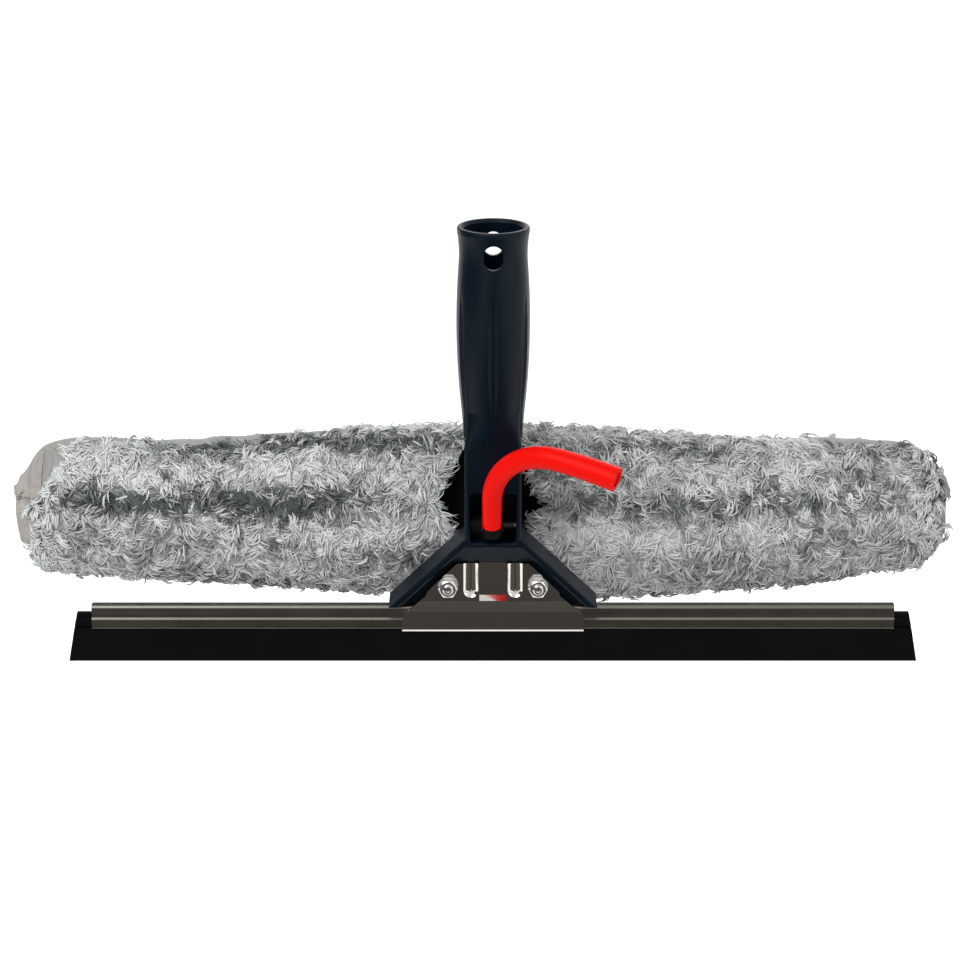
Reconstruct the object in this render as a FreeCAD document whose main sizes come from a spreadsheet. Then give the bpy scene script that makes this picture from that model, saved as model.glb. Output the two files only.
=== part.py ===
"""Window washer and squeegee on one pole handle.

A moulded handle carries a spring closed clamp at its foot. The clamp holds a steel channel
with its rubber blade. A bar on the back of the handle carries the fibre sleeve.

Frame: the origin is the centre of the pole socket's mouth, +Z runs up out of the socket,
+X runs along the blade and -Y is the blade side. Lengths are millimetres. A name that ends
in drop is a depth below the mouth.
"""
import FreeCAD, Part
import math
import os
import re
import Sketcher

Vector = FreeCAD.Vector
UP = Vector(0, 0, 1)
LEAST_CUT = 0.01
SAME_PLACE = 0.01
FACING_SHARE = 0.5
GAP_STEP = 0.25

# Driving dimensions, one cell each in the spreadsheet.
SIZES = {
    # Grip and pole socket
    "socket_radius": 14.0,
    "socket_length": 60.0,
    "socket_end_radius": 10.0,
    "socket_depth": 92.0,
    "mouth_radius": 15.2,
    "rim_lift": 1.5,
    "rim_radius": 17.0,
    "rim_band": 1.0,
    "rim_round": 0.9,
    "waist_radius": 16.1,
    "waist_drop": 14.0,
    "waist_sweep": 60.0,
    "swell_sweep": 380.0,
    "blend_radius": 15.1,
    "blend_drop": 86.0,
    "lock_width": 9.0,
    "lock_height": 11.6,
    "lock_drop": 10.3,
    "groove_cutter": 3.0,
    "groove_axis": 18.85,
    "groove_tilt": 2.1,
    "groove_drop": 60.0,
    "groove_span": 74.0,
    "groove_count": 6,
    # Neck and yoke
    "neck_width": 27.0,
    "neck_depth": 27.0,
    "neck_corner": 1.6,
    "neck_drop": 104.0,
    "neck_foot_drop": 160.0,
    "wing_drop": 148.0,
    "yoke_span": 100.0,
    "yoke_drop": 182.8,
    "yoke_back": 8.0,
    "wing_rim": 4.6,
    "pocket_width": 22.0,
    "pocket_corner": 1.5,
    "pocket_drop": 125.3,
    "pocket_floor_drop": 150.0,
    "pocket_back": 6.0,
    "ledge_height": 2.6,
    "recess_depth": 7.7,
    "apron_drop": 160.4,
    "apron_set_back": 4.0,
    "apron_overlap": 1.5,
    "apron_lip": 0.8,
    "front_chamfer": 0.6,
    "jaw_width": 80.0,
    "jaw_thickness": 5.7,
    "jaw_drop": 193.6,
    # Squeegee channel and rubber
    "channel_length": 386.0,
    "channel_y": -6.0,
    "channel_width": 8.0,
    "channel_tube": 6.2,
    "channel_height": 11.5,
    "channel_tube_height": 6.0,
    "channel_wall": 0.8,
    "channel_mouth": 4.1,
    "channel_round": 1.6,
    "channel_shoulder": 0.9,
    "channel_edge": 0.6,
    "rubber_top_length": 400.6,
    "rubber_edge_length": 410.0,
    "rubber_fit": 0.2,
    "rubber_rib": 3.6,
    "rubber_rib_height": 1.5,
    "rubber_shoulder": 5.8,
    "rubber_shoulder_height": 2.4,
    "rubber_edge": 2.6,
    "rubber_reach": 17.6,
    "clip_length": 11.0,
    "clip_inset": 3.0,
    "clip_gauge": 0.6,
    # Clamp plate and its bolts
    "clamp_gap": 0.3,
    "plate_gauge": 1.5,
    "plate_step": 0.6,
    "plate_drop": 160.9,
    "plate_top_width": 34.0,
    "plate_corner_drop": 165.0,
    "plate_corner_width": 42.6,
    "plate_skirt_drop": 186.5,
    "plate_skirt_width": 85.6,
    "plate_width": 87.2,
    "joggle_drop": 180.0,
    "joggle_height": 5.0,
    "plate_notch_drop": 175.4,
    "plate_notch_width": 63.4,
    "plate_notch_height": 2.0,
    "plate_notch_step": 0.5,
    "lip_gauge": 1.2,
    "lip_bend": 2.3,
    "lip_reach": 1.0,
    "press_spacing": 21.2,
    "press_width": 7.0,
    "press_depth": 1.2,
    "press_end_drop": 174.6,
    "pad_width": 13.0,
    "pad_depth": 2.4,
    "pad_foot_drop": 177.6,
    "pad_slope": 2.2,
    "bolt_spacing": 43.0,
    "bolt_drop": 172.2,
    "bolt_radius": 2.5,
    "bolt_fit": 0.05,
    "bolt_tail": 1.4,
    "bolt_point": 0.6,
    "bolt_dimple_radius": 1.2,
    "bolt_dimple_depth": 1.0,
    "bolt_head_radius": 4.25,
    "bolt_head_height": 3.5,
    "bolt_head_sink": 4.2,
    "bolt_head_room": 0.5,
    "plate_hole_room": 0.4,
    "plate_play": 0.35,
    "washer_radius": 5.0,
    "washer_gauge": 1.0,
    "nut_flats": 8.0,
    "nut_height": 4.0,
    "nut_face_radius": 3.7,
    # Release lever
    "pin_radius": 2.0,
    "pin_fit": 0.02,
    "pin_run": 0.05,
    "pin_y": -5.0,
    "pin_drop": 143.5,
    "hub_radius": 5.2,
    "hub_width": 15.7,
    "hub_side_gap": 0.3,
    "toe_width": 9.0,
    "toe_gauge": 4.0,
    "toe_drop": 165.5,
    "toe_gap": 0.3,
    "slot_side_gap": 0.6,
    "slot_front_gap": 0.5,
    "slot_back": 4.4,
    "slot_foot_gap": 1.6,
    "rod_radius": 3.0,
    "rod_fit": 0.05,
    "rod_x": -0.5,
    "rod_y": -11.5,
    "rod_drop": 147.5,
    "rod_lean": 18.0,
    "rod_yaw": 25.0,
    "rod_rise": 55.4,
    "rod_bend": 33.5,
    "rod_sweep": 200.0,
    "rod_reach": 58.0,
    "boss_radius": 4.8,
    "boss_start": 2.2,
    "boss_height": 4.6,
    "boss_floor": 1.2,
    "roll_pin_radius": 1.0,
    "roll_pin_rise": 1.8,
    "grip_gap": 0.3,
    "grip_radius": 4.6,
    "grip_tip_radius": 5.9,
    "grip_reach": 63.0,
    "tip_dish_radius": 3.9,
    "tip_dish_depth": 1.0,
    "spring_wire": 0.45,
    "spring_radius": 3.3,
    "spring_pitch": 1.36,
    "spring_turns": 3,
    "spring_side_gap": 0.3,
    # Bar and fibre sleeve
    "bar_y": 45.0,
    "bar_drop": 153.0,
    "bar_length": 420.0,
    "bar_height": 44.0,
    "bar_depth": 14.0,
    "bar_corner": 6.0,
    "bar_slot_first": 34.0,
    "bar_slot_run": 154.0,
    "bar_slot_count": 8,
    "bar_slot_width": 8.0,
    "bar_slot_height": 24.0,
    "stem_width": 18.0,
    "stem_height": 19.0,
    "stem_drop": 140.5,
    "stem_web": 5.0,
    "stem_wall": 3.0,
    "flange_width": 20.8,
    "flange_height": 36.0,
    "flange_gauge": 4.0,
    "flange_corner": 2.5,
    "screw_spacing": 27.0,
    "screw_radius": 2.0,
    "screw_fit": 0.05,
    "screw_hole_room": 0.25,
    "screw_reach": 6.5,
    "screw_head_radius": 3.8,
    "screw_head_height": 2.8,
    "sleeve_shift": -5.0,
    "sleeve_fit": 0.3,
    "sleeve_round": 0.7,
    "sleeve_tip": 227.0,
    "sleeve_tip_height": 15.0,
    "sleeve_tip_depth": 11.0,
    "sleeve_shoulder": 221.0,
    "sleeve_shoulder_height": 25.5,
    "sleeve_shoulder_depth": 19.5,
    "sleeve_cap": 216.0,
    "sleeve_cap_height": 29.0,
    "sleeve_cap_depth": 22.2,
    "sleeve_end": 206.0,
    "sleeve_end_height": 33.0,
    "sleeve_end_depth": 25.5,
    "sleeve_mid": 110.0,
    "sleeve_mid_height": 38.5,
    "sleeve_mid_depth": 29.5,
    "sleeve_full": 32.0,
    "sleeve_full_height": 44.0,
    "sleeve_full_depth": 30.5,
    "sleeve_slit_drop": 139.0,
    "sleeve_slit_width": 54.0,
    "sleeve_slit_end_width": 24.0,
    "sleeve_slit_height": 54.0,
    "sleeve_slit_room": 1.0,
    "end_panel_gauge": 1.4,
    "end_panel_inset": 1.5,
    "closure_width": 24.0,
    "closure_height": 16.0,
    "closure_gauge": 1.2,
    "closure_drop": 153.0,
    "closure_y": 69.0,
    "closure_corner": 2.0,
    "closure_room": 0.5,
}

doc = FreeCAD.newDocument("WindowScrubber")
sheet = doc.addObject("Spreadsheet::Sheet", "Sizes")
for row, (alias, number) in enumerate(SIZES.items(), start=1):
    sheet.set(f"A{row}", alias)
    sheet.set(f"B{row}", str(number))
    sheet.setAlias(f"B{row}", alias)
doc.recompute()


def bound(text):
    """Point every size name in an expression at its cell."""
    return re.sub(r"[a-z_]+", lambda word: "Sizes." + word[0] if word[0] in SIZES else word[0], text)


def value(text):
    """Work out an expression from the sheet."""
    return float(sheet.evalExpression(bound(text)))


def tie(item, prop, text):
    """Drive one property of an object from the sheet."""
    item.setExpression(prop, bound(text))


# Named places that several pieces share, as expressions of the driving dimensions.
FRONT_Y = "(-neck_depth / 2)"
AHEAD_Y = "(-neck_depth)"
THROUGH = "(4 * neck_depth)"
BACK_Y = "(neck_depth / 2)"
RECESS_Y = f"({FRONT_Y} + recess_depth)"
RECESS_DROP = "(pocket_floor_drop + ledge_height)"
WING_SLOPE = "((yoke_span - neck_width) / 2 / (yoke_drop - wing_drop))"
CHANNEL_DROP = "(yoke_drop + clamp_gap)"
CHANNEL_FOOT_DROP = f"({CHANNEL_DROP} + channel_height)"
JAW_Y = "(channel_y + channel_width / 2 + clamp_gap)"
PLATE_LOW_Y = "(channel_y - channel_width / 2 - clamp_gap - plate_gauge)"
PLATE_Y = f"({PLATE_LOW_Y} + plate_step)"
PLATE_BACK_Y = f"({PLATE_Y} + plate_gauge)"
LIP_DROP = f"({CHANNEL_FOOT_DROP} + clamp_gap + lip_gauge)"
WASHER_Y = f"({PLATE_Y} - plate_play)"
NUT_Y = f"({WASHER_Y} - washer_gauge)"
BOLT_TIP_Y = f"({NUT_Y} - nut_height - bolt_tail)"
BOLT_SEAT_Y = "(yoke_back - bolt_head_sink)"
HUB_X = "(-pocket_width / 2 + hub_side_gap + hub_width / 2)"
TOE_Y = f"({PLATE_BACK_Y} + pad_depth + toe_gap)"
BAR_FRONT_Y = "(bar_y - bar_depth / 2)"
FLANGE_Y = f"({BACK_Y} + flange_gauge)"
SCREW_DROPS = ("(stem_drop - screw_spacing / 2)", "(stem_drop + screw_spacing / 2)")
ROLL_PIN_HEIGHT = "(boss_start + boss_floor + roll_pin_rise)"
SPRING_X = f"({HUB_X} + hub_width / 2 + spring_side_gap + spring_wire)"


def recess_half(drop):
    """Half width of the yoke's recess at a depth, inside the sloping rim."""
    return f"(neck_width / 2 + ({drop} - wing_drop - wing_rim) * {WING_SLOPE})"


def new_body(label):
    body = doc.addObject("PartDesign::Body", label)
    body.Label = label
    return body


def sketch(body, name, plane, shift="0"):
    """A sketch on an origin plane, moved along the plane's normal."""
    item = body.newObject("Sketcher::SketchObject", name)
    support = next(part for part in body.Origin.OriginFeatures if part.Role == plane)
    item.AttachmentSupport = (support, [""])
    item.MapMode = "FlatFace"
    tie(item, "AttachmentOffset.Base.z", shift)
    return item


def front_sketch(body, name, y):
    """A sketch seen from the blade side, at a given y: pads leave it towards -Y."""
    return sketch(body, name, "XZ_Plane", f"-({y})")


def side_sketch(body, name, x="0"):
    """A sketch across the blade, with y to the right and z up, at a given x."""
    return sketch(body, name, "YZ_Plane", x)


def level_sketch(body, name, z):
    """A flat sketch at a given height."""
    return sketch(body, name, "XY_Plane", z)


def constrain(item, kind, *spot):
    """Add a dimension whose last argument is its expression."""
    text = spot[-1]
    index = item.addConstraint(Sketcher.Constraint(kind, *spot[:-1], value(text)))
    tie(item, f"Constraints[{index}]", text)


def outline(item, corners, closed=True):
    """Draw edges from corner to corner.

    A third value in a corner is the radius of the edge that arrives there: the edge turns
    left as it goes, or right if the value starts with a minus sign.
    """
    base = item.GeometryCount
    points = [Vector(value(corner[0]), value(corner[1]), 0) for corner in corners]
    first = 0 if closed else 1
    heads = []
    tails = []
    for index in range(first, len(corners)):
        start = points[index - 1]
        end = points[index]
        if len(corners[index]) == 2:
            item.addGeometry(Part.LineSegment(start, end), False)
            heads.append(1)
            tails.append(2)
            continue
        radius = value(corners[index][2])
        chord = end - start
        reach = math.sqrt(max(radius ** 2 - chord.Length ** 2 / 4, 0))
        left = Vector(-chord.y, chord.x, 0).normalize()
        centre = (start + end) * 0.5 + left * math.copysign(reach, radius)
        low, high = (start, end) if radius > 0 else (end, start)
        angle = math.atan2(low.y - centre.y, low.x - centre.x)
        turn = (math.atan2(high.y - centre.y, high.x - centre.x) - angle) % (2 * math.pi)
        circle = Part.Circle(centre, UP, abs(radius))
        item.addGeometry(Part.ArcOfCircle(circle, angle, angle + turn), False)
        heads.append(1 if radius > 0 else 2)
        tails.append(2 if radius > 0 else 1)
    count = len(heads)
    for index in range(count if closed else count - 1):
        after = (index + 1) % count
        item.addConstraint(
            Sketcher.Constraint("Coincident", base + index, tails[index], base + after, heads[after]))
    if not closed:
        constrain(item, "DistanceX", base, heads[0], corners[0][0])
        constrain(item, "DistanceY", base, heads[0], corners[0][1])
    for index in range(count):
        corner = corners[index + first]
        constrain(item, "DistanceX", base + index, tails[index], corner[0])
        constrain(item, "DistanceY", base + index, tails[index], corner[1])
        if len(corner) == 3:
            constrain(item, "Radius", base + index, corner[2].lstrip("-"))


def ring(item, x, y, radius):
    """Draw a circle."""
    index = item.addGeometry(Part.Circle(Vector(value(x), value(y), 0), UP, value(radius)), False)
    constrain(item, "DistanceX", index, 3, x)
    constrain(item, "DistanceY", index, 3, y)
    constrain(item, "Radius", index, radius)


def block(left, right, low, high):
    """Corners of a rectangle."""
    return [(left, low), (right, low), (right, high), (left, high)]


def soft_block(left, right, low, high, corner):
    """Corners of a rectangle with round corners."""
    return [
        (f"{right} - {corner}", low),
        (right, f"{low} + {corner}", corner),
        (right, f"{high} - {corner}"),
        (f"{right} - {corner}", high, corner),
        (f"{left} + {corner}", high),
        (left, f"{high} - {corner}", corner),
        (left, f"{low} + {corner}"),
        (f"{left} + {corner}", low, corner),
    ]


def stadium(x, z, width, height):
    """Corners of an upright slot with round ends, about a middle."""
    high = f"{z} + ({height} - {width}) / 2"
    low = f"{z} - ({height} - {width}) / 2"
    return [
        (f"{x} + {width} / 2", high),
        (x, f"{z} + {height} / 2", f"{width} / 2"),
        (f"{x} - {width} / 2", high, f"{width} / 2"),
        (f"{x} - {width} / 2", low),
        (x, f"{z} - {height} / 2", f"{width} / 2"),
        (f"{x} + {width} / 2", low, f"{width} / 2"),
    ]


def mirrored(half):
    """Complete an outline that was drawn down its right side, with its left side."""
    other = []
    for index in range(len(half) - 1, -1, -1):
        spot = (f"-({half[index][0]})", half[index][1])
        bent = index + 1 < len(half) and len(half[index + 1]) == 3
        other.append(spot + (half[index + 1][2],) if bent else spot)
    return half + other


def volume(body):
    doc.recompute()
    return body.Shape.Volume


def add(body, kind, name, profile, **settings):
    """Add a PartDesign feature; text settings are expressions."""
    before = volume(body) if kind in ("Pocket", "Groove") else 0
    item = body.newObject("PartDesign::" + kind, name)
    item.Profile = profile
    for prop, setting in settings.items():
        if isinstance(setting, str) and prop in ("Length", "Length2"):
            tie(item, prop, setting)
        else:
            setattr(item, prop, setting)
    if kind in ("Pocket", "Groove") and not volume(body) < before - LEAST_CUT:
        raise RuntimeError(f"{body.Label}: {name} cut nothing")
    return item


def turned(body, kind, name, profile):
    """Revolve a profile about its sketch's upright axis."""
    return add(body, kind, name, profile, ReferenceAxis=(profile, ["V_Axis"]), Angle=360.0)


def primitive(body, kind, name, place, **sizes):
    """A PartDesign primitive at a placement in the body's frame."""
    item = body.newObject("PartDesign::" + kind, name)
    support = next(part for part in body.Origin.OriginFeatures if part.Role == "XY_Plane")
    item.AttachmentSupport = (support, [""])
    item.MapMode = "FlatFace"
    item.AttachmentOffset = place
    for prop, text in sizes.items():
        tie(item, prop, text)
    return item


def finish(body, item):
    """Make a pattern or other late feature the body's result."""
    body.Tip = item
    doc.recompute()


def solid(kind, name, spot, angle=0.0, axis=Vector(1, 0, 0), **sizes):
    """A Part primitive at a spot given by expressions, turned about an axis."""
    item = doc.addObject("Part::" + kind, name)
    item.Placement = FreeCAD.Placement(Vector(), FreeCAD.Rotation(axis, angle))
    for letter, text in zip("xyz", spot):
        tie(item, f"Placement.Base.{letter}", text)
    for prop, text in sizes.items():
        tie(item, prop, text)
    return item


def cut(name, base, tool):
    item = doc.addObject("Part::Cut", name)
    item.Base = base
    item.Tool = tool
    return item


def common(name, base, tool):
    item = doc.addObject("Part::Common", name)
    item.Base = base
    item.Tool = tool
    return item


def fuse(name, *shapes):
    item = doc.addObject("Part::MultiFuse", name)
    item.Shapes = list(shapes)
    return item


def group(label, links):
    """Separate like solids in one node."""
    item = doc.addObject("Part::Compound", label)
    item.Label = label
    item.Links = links
    return item


# Moulded handle


def grip_profile(body):
    item = front_sketch(body, "grip_profile", "0")
    outline(item, [
        ("0", "rim_lift"),
        ("rim_radius - rim_round", "rim_lift"),
        ("rim_radius", "rim_lift - rim_round", "-rim_round"),
        ("rim_radius", "-rim_band"),
        ("waist_radius", "-waist_drop", "waist_sweep"),
        ("blend_radius", "-blend_drop", "-swell_sweep"),
        ("0", "-blend_drop"),
    ])
    return item


def neck_corners():
    """Round cornered section of the neck, anticlockwise from its right front."""
    wide = "neck_width / 2"
    deep = "neck_depth / 2"
    return soft_block(f"-{wide}", wide, f"-{deep}", deep, "neck_corner")


def on_circle(corner, radius):
    """The spot on a circle in the same direction as a corner."""
    length = f"sqrt(({corner[0]})^2 + ({corner[1]})^2)"
    return (f"{radius} * ({corner[0]}) / {length}", f"{radius} * ({corner[1]}) / {length}", radius)


def make_grip(body):
    """Turned grip, blended into the square neck."""
    turned(body, "Revolution", "grip", grip_profile(body))
    top = level_sketch(body, "blend_top", "-blend_drop")
    outline(top, [on_circle(corner, "blend_radius") for corner in neck_corners()])
    foot = level_sketch(body, "blend_foot", "-neck_drop")
    outline(foot, neck_corners())
    add(body, "AdditiveLoft", "blend", top, Sections=[foot], Ruled=True)
    column = level_sketch(body, "neck_section", "-neck_drop")
    outline(column, neck_corners())
    add(body, "Pad", "neck", column, Length="neck_foot_drop - neck_drop", Reversed=True)


def make_yoke(body):
    """Splayed yoke with its front recess, the lever pocket and the rear jaw."""
    house = front_sketch(body, "yoke_outline", "yoke_back")
    outline(house, mirrored([("neck_width / 2", "-wing_drop"), ("yoke_span / 2", "-yoke_drop")]))
    add(body, "Pad", "yoke", house, Length=f"yoke_back - {FRONT_Y}")
    recess = front_sketch(body, "recess_outline", FRONT_Y)
    below = "(yoke_drop + wing_rim)"
    outline(recess, mirrored([
        (recess_half(RECESS_DROP), f"-{RECESS_DROP}"),
        (recess_half(below), f"-{below}"),
    ]))
    add(body, "Pocket", "recess", recess, Length="recess_depth")
    upper = level_sketch(body, "apron_top", f"-{RECESS_DROP}")
    upper_half = f"({recess_half(RECESS_DROP)} + apron_overlap)"
    outline(upper, block(
        f"-{upper_half}", upper_half, f"{FRONT_Y} + apron_lip", f"{RECESS_Y} + wing_rim"))
    lower = level_sketch(body, "apron_foot", "-apron_drop")
    lower_half = f"({recess_half('apron_drop')} + apron_overlap)"
    outline(lower, block(
        f"-{lower_half}", lower_half, f"{FRONT_Y} + apron_set_back", f"{RECESS_Y} + wing_rim"))
    add(body, "AdditiveLoft", "apron", upper, Sections=[lower], Ruled=True)
    jaw = front_sketch(body, "jaw_outline", f"{JAW_Y} + jaw_thickness")
    outline(jaw, block("-jaw_width / 2", "jaw_width / 2", "-jaw_drop", "-yoke_drop + wing_rim"))
    add(body, "Pad", "jaw", jaw, Length="jaw_thickness")
    pocket = front_sketch(body, "pocket_outline", FRONT_Y)
    outline(pocket, soft_block(
        "-pocket_width / 2", "pocket_width / 2", "-pocket_floor_drop", "-pocket_drop", "pocket_corner"))
    add(body, "Pocket", "lever_pocket", pocket, Length=f"pocket_back - {FRONT_Y}")
    slot = side_sketch(body, "toe_slot_outline", HUB_X)
    outline(slot, block(
        f"{TOE_Y} - slot_front_gap", "slot_back", "-toe_drop - slot_foot_gap",
        "-pocket_floor_drop + pocket_corner"))
    add(body, "Pocket", "toe_slot", slot, SideType="Symmetric", Length="toe_width + 2 * slot_side_gap")


def chamfer_front(body):
    """Chamfer the sharp edges of the yoke and the pocket on the handle's flat front."""
    doc.recompute()
    shape = body.Shape
    front = value(FRONT_Y)
    neck_top = -value("neck_drop")
    names = []
    for index, edge in enumerate(shape.Edges, start=1):
        if any(abs(vertex.Y - front) > SAME_PLACE for vertex in edge.Vertexes):
            continue
        if all(abs(vertex.Z - neck_top) < SAME_PLACE for vertex in edge.Vertexes):
            continue
        middle = edge.valueAt((edge.FirstParameter + edge.LastParameter) / 2)
        leans = []
        for face in shape.ancestorsOfType(edge, Part.Face):
            leans.append(abs(face.normalAt(*face.Surface.parameter(middle)).y))
        if min(leans) < FACING_SHARE < max(leans):
            names.append(f"Edge{index}")
    latest = body.Tip
    item = body.newObject("PartDesign::Chamfer", "front_edges")
    item.Base = (latest, names)
    tie(item, "Size", "front_chamfer")
    finish(body, item)


def make_handle_holes(body):
    """Pole socket, lock slot, grip grooves and the fastener holes."""
    socket = front_sketch(body, "socket_profile", "0")
    outline(socket, [
        ("0", "-socket_depth"),
        ("socket_end_radius", "-socket_depth"),
        ("socket_radius", "-socket_length"),
        ("socket_radius", "0"),
        ("mouth_radius", "rim_lift"),
        ("mouth_radius", "rim_lift + rim_band"),
        ("0", "rim_lift + rim_band"),
    ])
    turned(body, "Groove", "pole_socket", socket)
    lock = front_sketch(body, "lock_outline", "-2 * rim_radius")
    outline(lock, stadium("0", "-lock_drop", "lock_width", "lock_height"))
    add(body, "Pocket", "lock_slot", lock, Length="4 * rim_radius")
    holes = front_sketch(body, "bolt_hole_outline", AHEAD_Y)
    for side in ("-", ""):
        ring(holes, f"{side}bolt_spacing / 2", "-bolt_drop", "bolt_radius + bolt_fit")
    add(body, "Pocket", "bolt_holes", holes, Length=THROUGH)
    heads = front_sketch(body, "bolt_head_outline", "yoke_back")
    for side in ("-", ""):
        ring(heads, f"{side}bolt_spacing / 2", "-bolt_drop", "bolt_head_radius + bolt_head_room")
    add(body, "Pocket", "bolt_head_wells", heads, Length="bolt_head_sink", Reversed=True)
    pin = side_sketch(body, "pin_hole_outline")
    ring(pin, "pin_y", "-pin_drop", "pin_radius + pin_fit")
    add(body, "Pocket", "pin_hole", pin, SideType="Symmetric", Length="2 * neck_width")
    screws = front_sketch(body, "screw_hole_outline", BACK_Y)
    for drop in SCREW_DROPS:
        ring(screws, "0", f"-{drop}", "screw_radius + screw_fit")
    add(body, "Pocket", "screw_holes", screws, Length="screw_reach + screw_fit", Reversed=True)


def make_grip_grooves(body):
    """Long shallow grooves round the grip, each cut by a leaning round cutter."""
    lean = FreeCAD.Rotation(Vector(1, 0, 0), value("groove_tilt"))
    middle = Vector(0, -value("groove_axis"), -value("groove_drop"))
    foot = middle - lean.multVec(UP) * (value("groove_span") / 2)
    place = FreeCAD.Placement(foot, lean)
    cutter = primitive(
        body, "SubtractiveCylinder", "groove", place, Radius="groove_cutter", Height="groove_span")
    end = primitive(body, "SubtractiveSphere", "groove_end", place, Radius="groove_cutter")
    pattern = body.newObject("PartDesign::PolarPattern", "grooves")
    pattern.Originals = [cutter, end]
    axis = next(part for part in body.Origin.OriginFeatures if part.Role == "Z_Axis")
    pattern.Axis = (axis, [""])
    pattern.Angle = 360.0
    tie(pattern, "Occurrences", "groove_count")
    finish(body, pattern)


def make_handle():
    body = new_body("handle_body")
    make_grip(body)
    make_yoke(body)
    chamfer_front(body)
    make_handle_holes(body)
    make_grip_grooves(body)
    return body


# Clamp plate and fasteners


def make_clamp_plate():
    """Pressed steel plate with a joggle, a hooked lip and two pressed channels."""
    body = new_body("clamp_plate")
    section = side_sketch(body, "plate_section")
    step_drop = "(joggle_drop + joggle_height)"
    outline(section, [
        (PLATE_Y, "-plate_drop"),
        (PLATE_Y, "-joggle_drop"),
        (PLATE_LOW_Y, f"-{step_drop}"),
        (PLATE_LOW_Y, f"-{LIP_DROP} + lip_bend"),
        (f"{PLATE_LOW_Y} + lip_bend", f"-{LIP_DROP}", "lip_bend"),
        (f"{PLATE_LOW_Y} + plate_gauge + lip_reach", f"-{LIP_DROP}"),
        (f"{PLATE_LOW_Y} + plate_gauge + lip_reach", f"-{LIP_DROP} + lip_gauge"),
        (f"{PLATE_LOW_Y} + plate_gauge", f"-{LIP_DROP} + lip_gauge"),
        (f"{PLATE_LOW_Y} + plate_gauge", f"-{step_drop}"),
        (PLATE_BACK_Y, "-joggle_drop"),
        (PLATE_BACK_Y, "-plate_drop"),
    ])
    add(body, "Pad", "plate", section, SideType="Symmetric", Length="plate_width")
    press_pad(body)
    radius = "((press_width^2 / 4 + press_depth^2) / (2 * press_depth))"
    for side in ("left", "right"):
        press_channel(body, side, radius)
    trim = front_sketch(body, "plate_outline", AHEAD_Y)
    outline(trim, block("-plate_width", "plate_width", "-2 * plate_drop", "0"))
    outline(trim, mirrored([
        ("plate_top_width / 2", "-plate_drop + plate_gauge"),
        ("plate_top_width / 2", "-plate_drop"),
        ("plate_corner_width / 2", "-plate_corner_drop"),
        ("plate_notch_width / 2", "-plate_notch_drop"),
        ("plate_notch_width / 2 + plate_notch_step", "-plate_notch_drop - plate_notch_height"),
        ("plate_skirt_width / 2", "-plate_skirt_drop"),
        ("plate_width / 2 + plate_gauge", f"-{LIP_DROP} - plate_gauge"),
    ]))
    add(body, "Pocket", "plate_shape", trim, Length=THROUGH)
    holes = front_sketch(body, "plate_hole_outline", AHEAD_Y)
    for side in ("-", ""):
        ring(holes, f"{side}bolt_spacing / 2", "-bolt_drop", "bolt_radius + plate_hole_room")
    add(body, "Pocket", "plate_holes", holes, Length=THROUGH)
    return body


def press_pad(body):
    """Middle of the plate, pressed back for the lever's toe and sloping out at its foot."""
    foot = "(pad_foot_drop + pad_slope)"
    rise = side_sketch(body, "pad_back_section")
    outline(rise, [
        (f"{PLATE_Y} + plate_gauge / 2", "-plate_drop"),
        (f"{PLATE_Y} + plate_gauge / 2", f"-{foot} - plate_gauge / 2"),
        (PLATE_BACK_Y, f"-{foot} - plate_gauge / 2"),
        (f"{PLATE_BACK_Y} + pad_depth", "-pad_foot_drop - plate_gauge / 2"),
        (f"{PLATE_BACK_Y} + pad_depth", "-plate_drop"),
    ])
    add(body, "Pad", "pad_back", rise, SideType="Symmetric", Length="pad_width + 2 * plate_gauge")
    hollow = side_sketch(body, "pad_front_section")
    outline(hollow, [
        (f"{PLATE_Y} - pad_depth", "-plate_drop"),
        (f"{PLATE_Y} - pad_depth", f"-{foot}"),
        (PLATE_Y, f"-{foot}"),
        (f"{PLATE_Y} + pad_depth", "-pad_foot_drop"),
        (f"{PLATE_Y} + pad_depth", "-plate_drop"),
    ])
    add(body, "Pocket", "pad_front", hollow, SideType="Symmetric", Length="pad_width")


def channel_sketch(body, name, side, drop):
    """A level sketch about the middle of one pressed channel."""
    item = level_sketch(body, name, f"-{drop}")
    tie(item, "AttachmentOffset.Base.x", f"{-1 if side == 'left' else 1} * press_spacing / 2")
    return item


def press_channel(body, side, radius):
    """One pressed channel with a round end: a rib behind the plate and the hollow in front of it."""
    half = "press_width / 2"
    run = "press_end_drop - plate_drop"
    rib = channel_sketch(body, f"{side}_rib_section", side, "plate_drop")
    outline(rib, [
        (f"-{half}", PLATE_Y),
        (half, PLATE_Y),
        (half, PLATE_BACK_Y),
        (f"-{half}", PLATE_BACK_Y, radius),
    ])
    add(body, "Pad", f"{side}_rib", rib, Length=run, Reversed=True)
    rib_end = channel_sketch(body, f"{side}_rib_end_profile", side, "press_end_drop")
    outline(rib_end, [
        ("0", PLATE_Y),
        (half, PLATE_Y),
        (half, PLATE_BACK_Y),
        ("0", f"{PLATE_BACK_Y} + press_depth", radius),
    ])
    turned(body, "Revolution", f"{side}_rib_end", rib_end)
    hollow = channel_sketch(body, f"{side}_hollow_section", side, "plate_drop")
    outline(hollow, [(half, PLATE_Y), (f"-{half}", PLATE_Y, radius)])
    add(body, "Pocket", f"{side}_hollow", hollow, Length=run)
    hollow_end = channel_sketch(body, f"{side}_hollow_end_profile", side, "press_end_drop")
    outline(hollow_end, [
        ("0", PLATE_Y),
        (half, PLATE_Y),
        ("0", f"{PLATE_Y} + press_depth", radius),
    ])
    turned(body, "Groove", f"{side}_hollow_end", hollow_end)


def sided(make):
    """One fastener at each bolt."""
    return [make(side, f"{sign} * bolt_spacing / 2") for side, sign in (("left", "-1"), ("right", "1"))]


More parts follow.
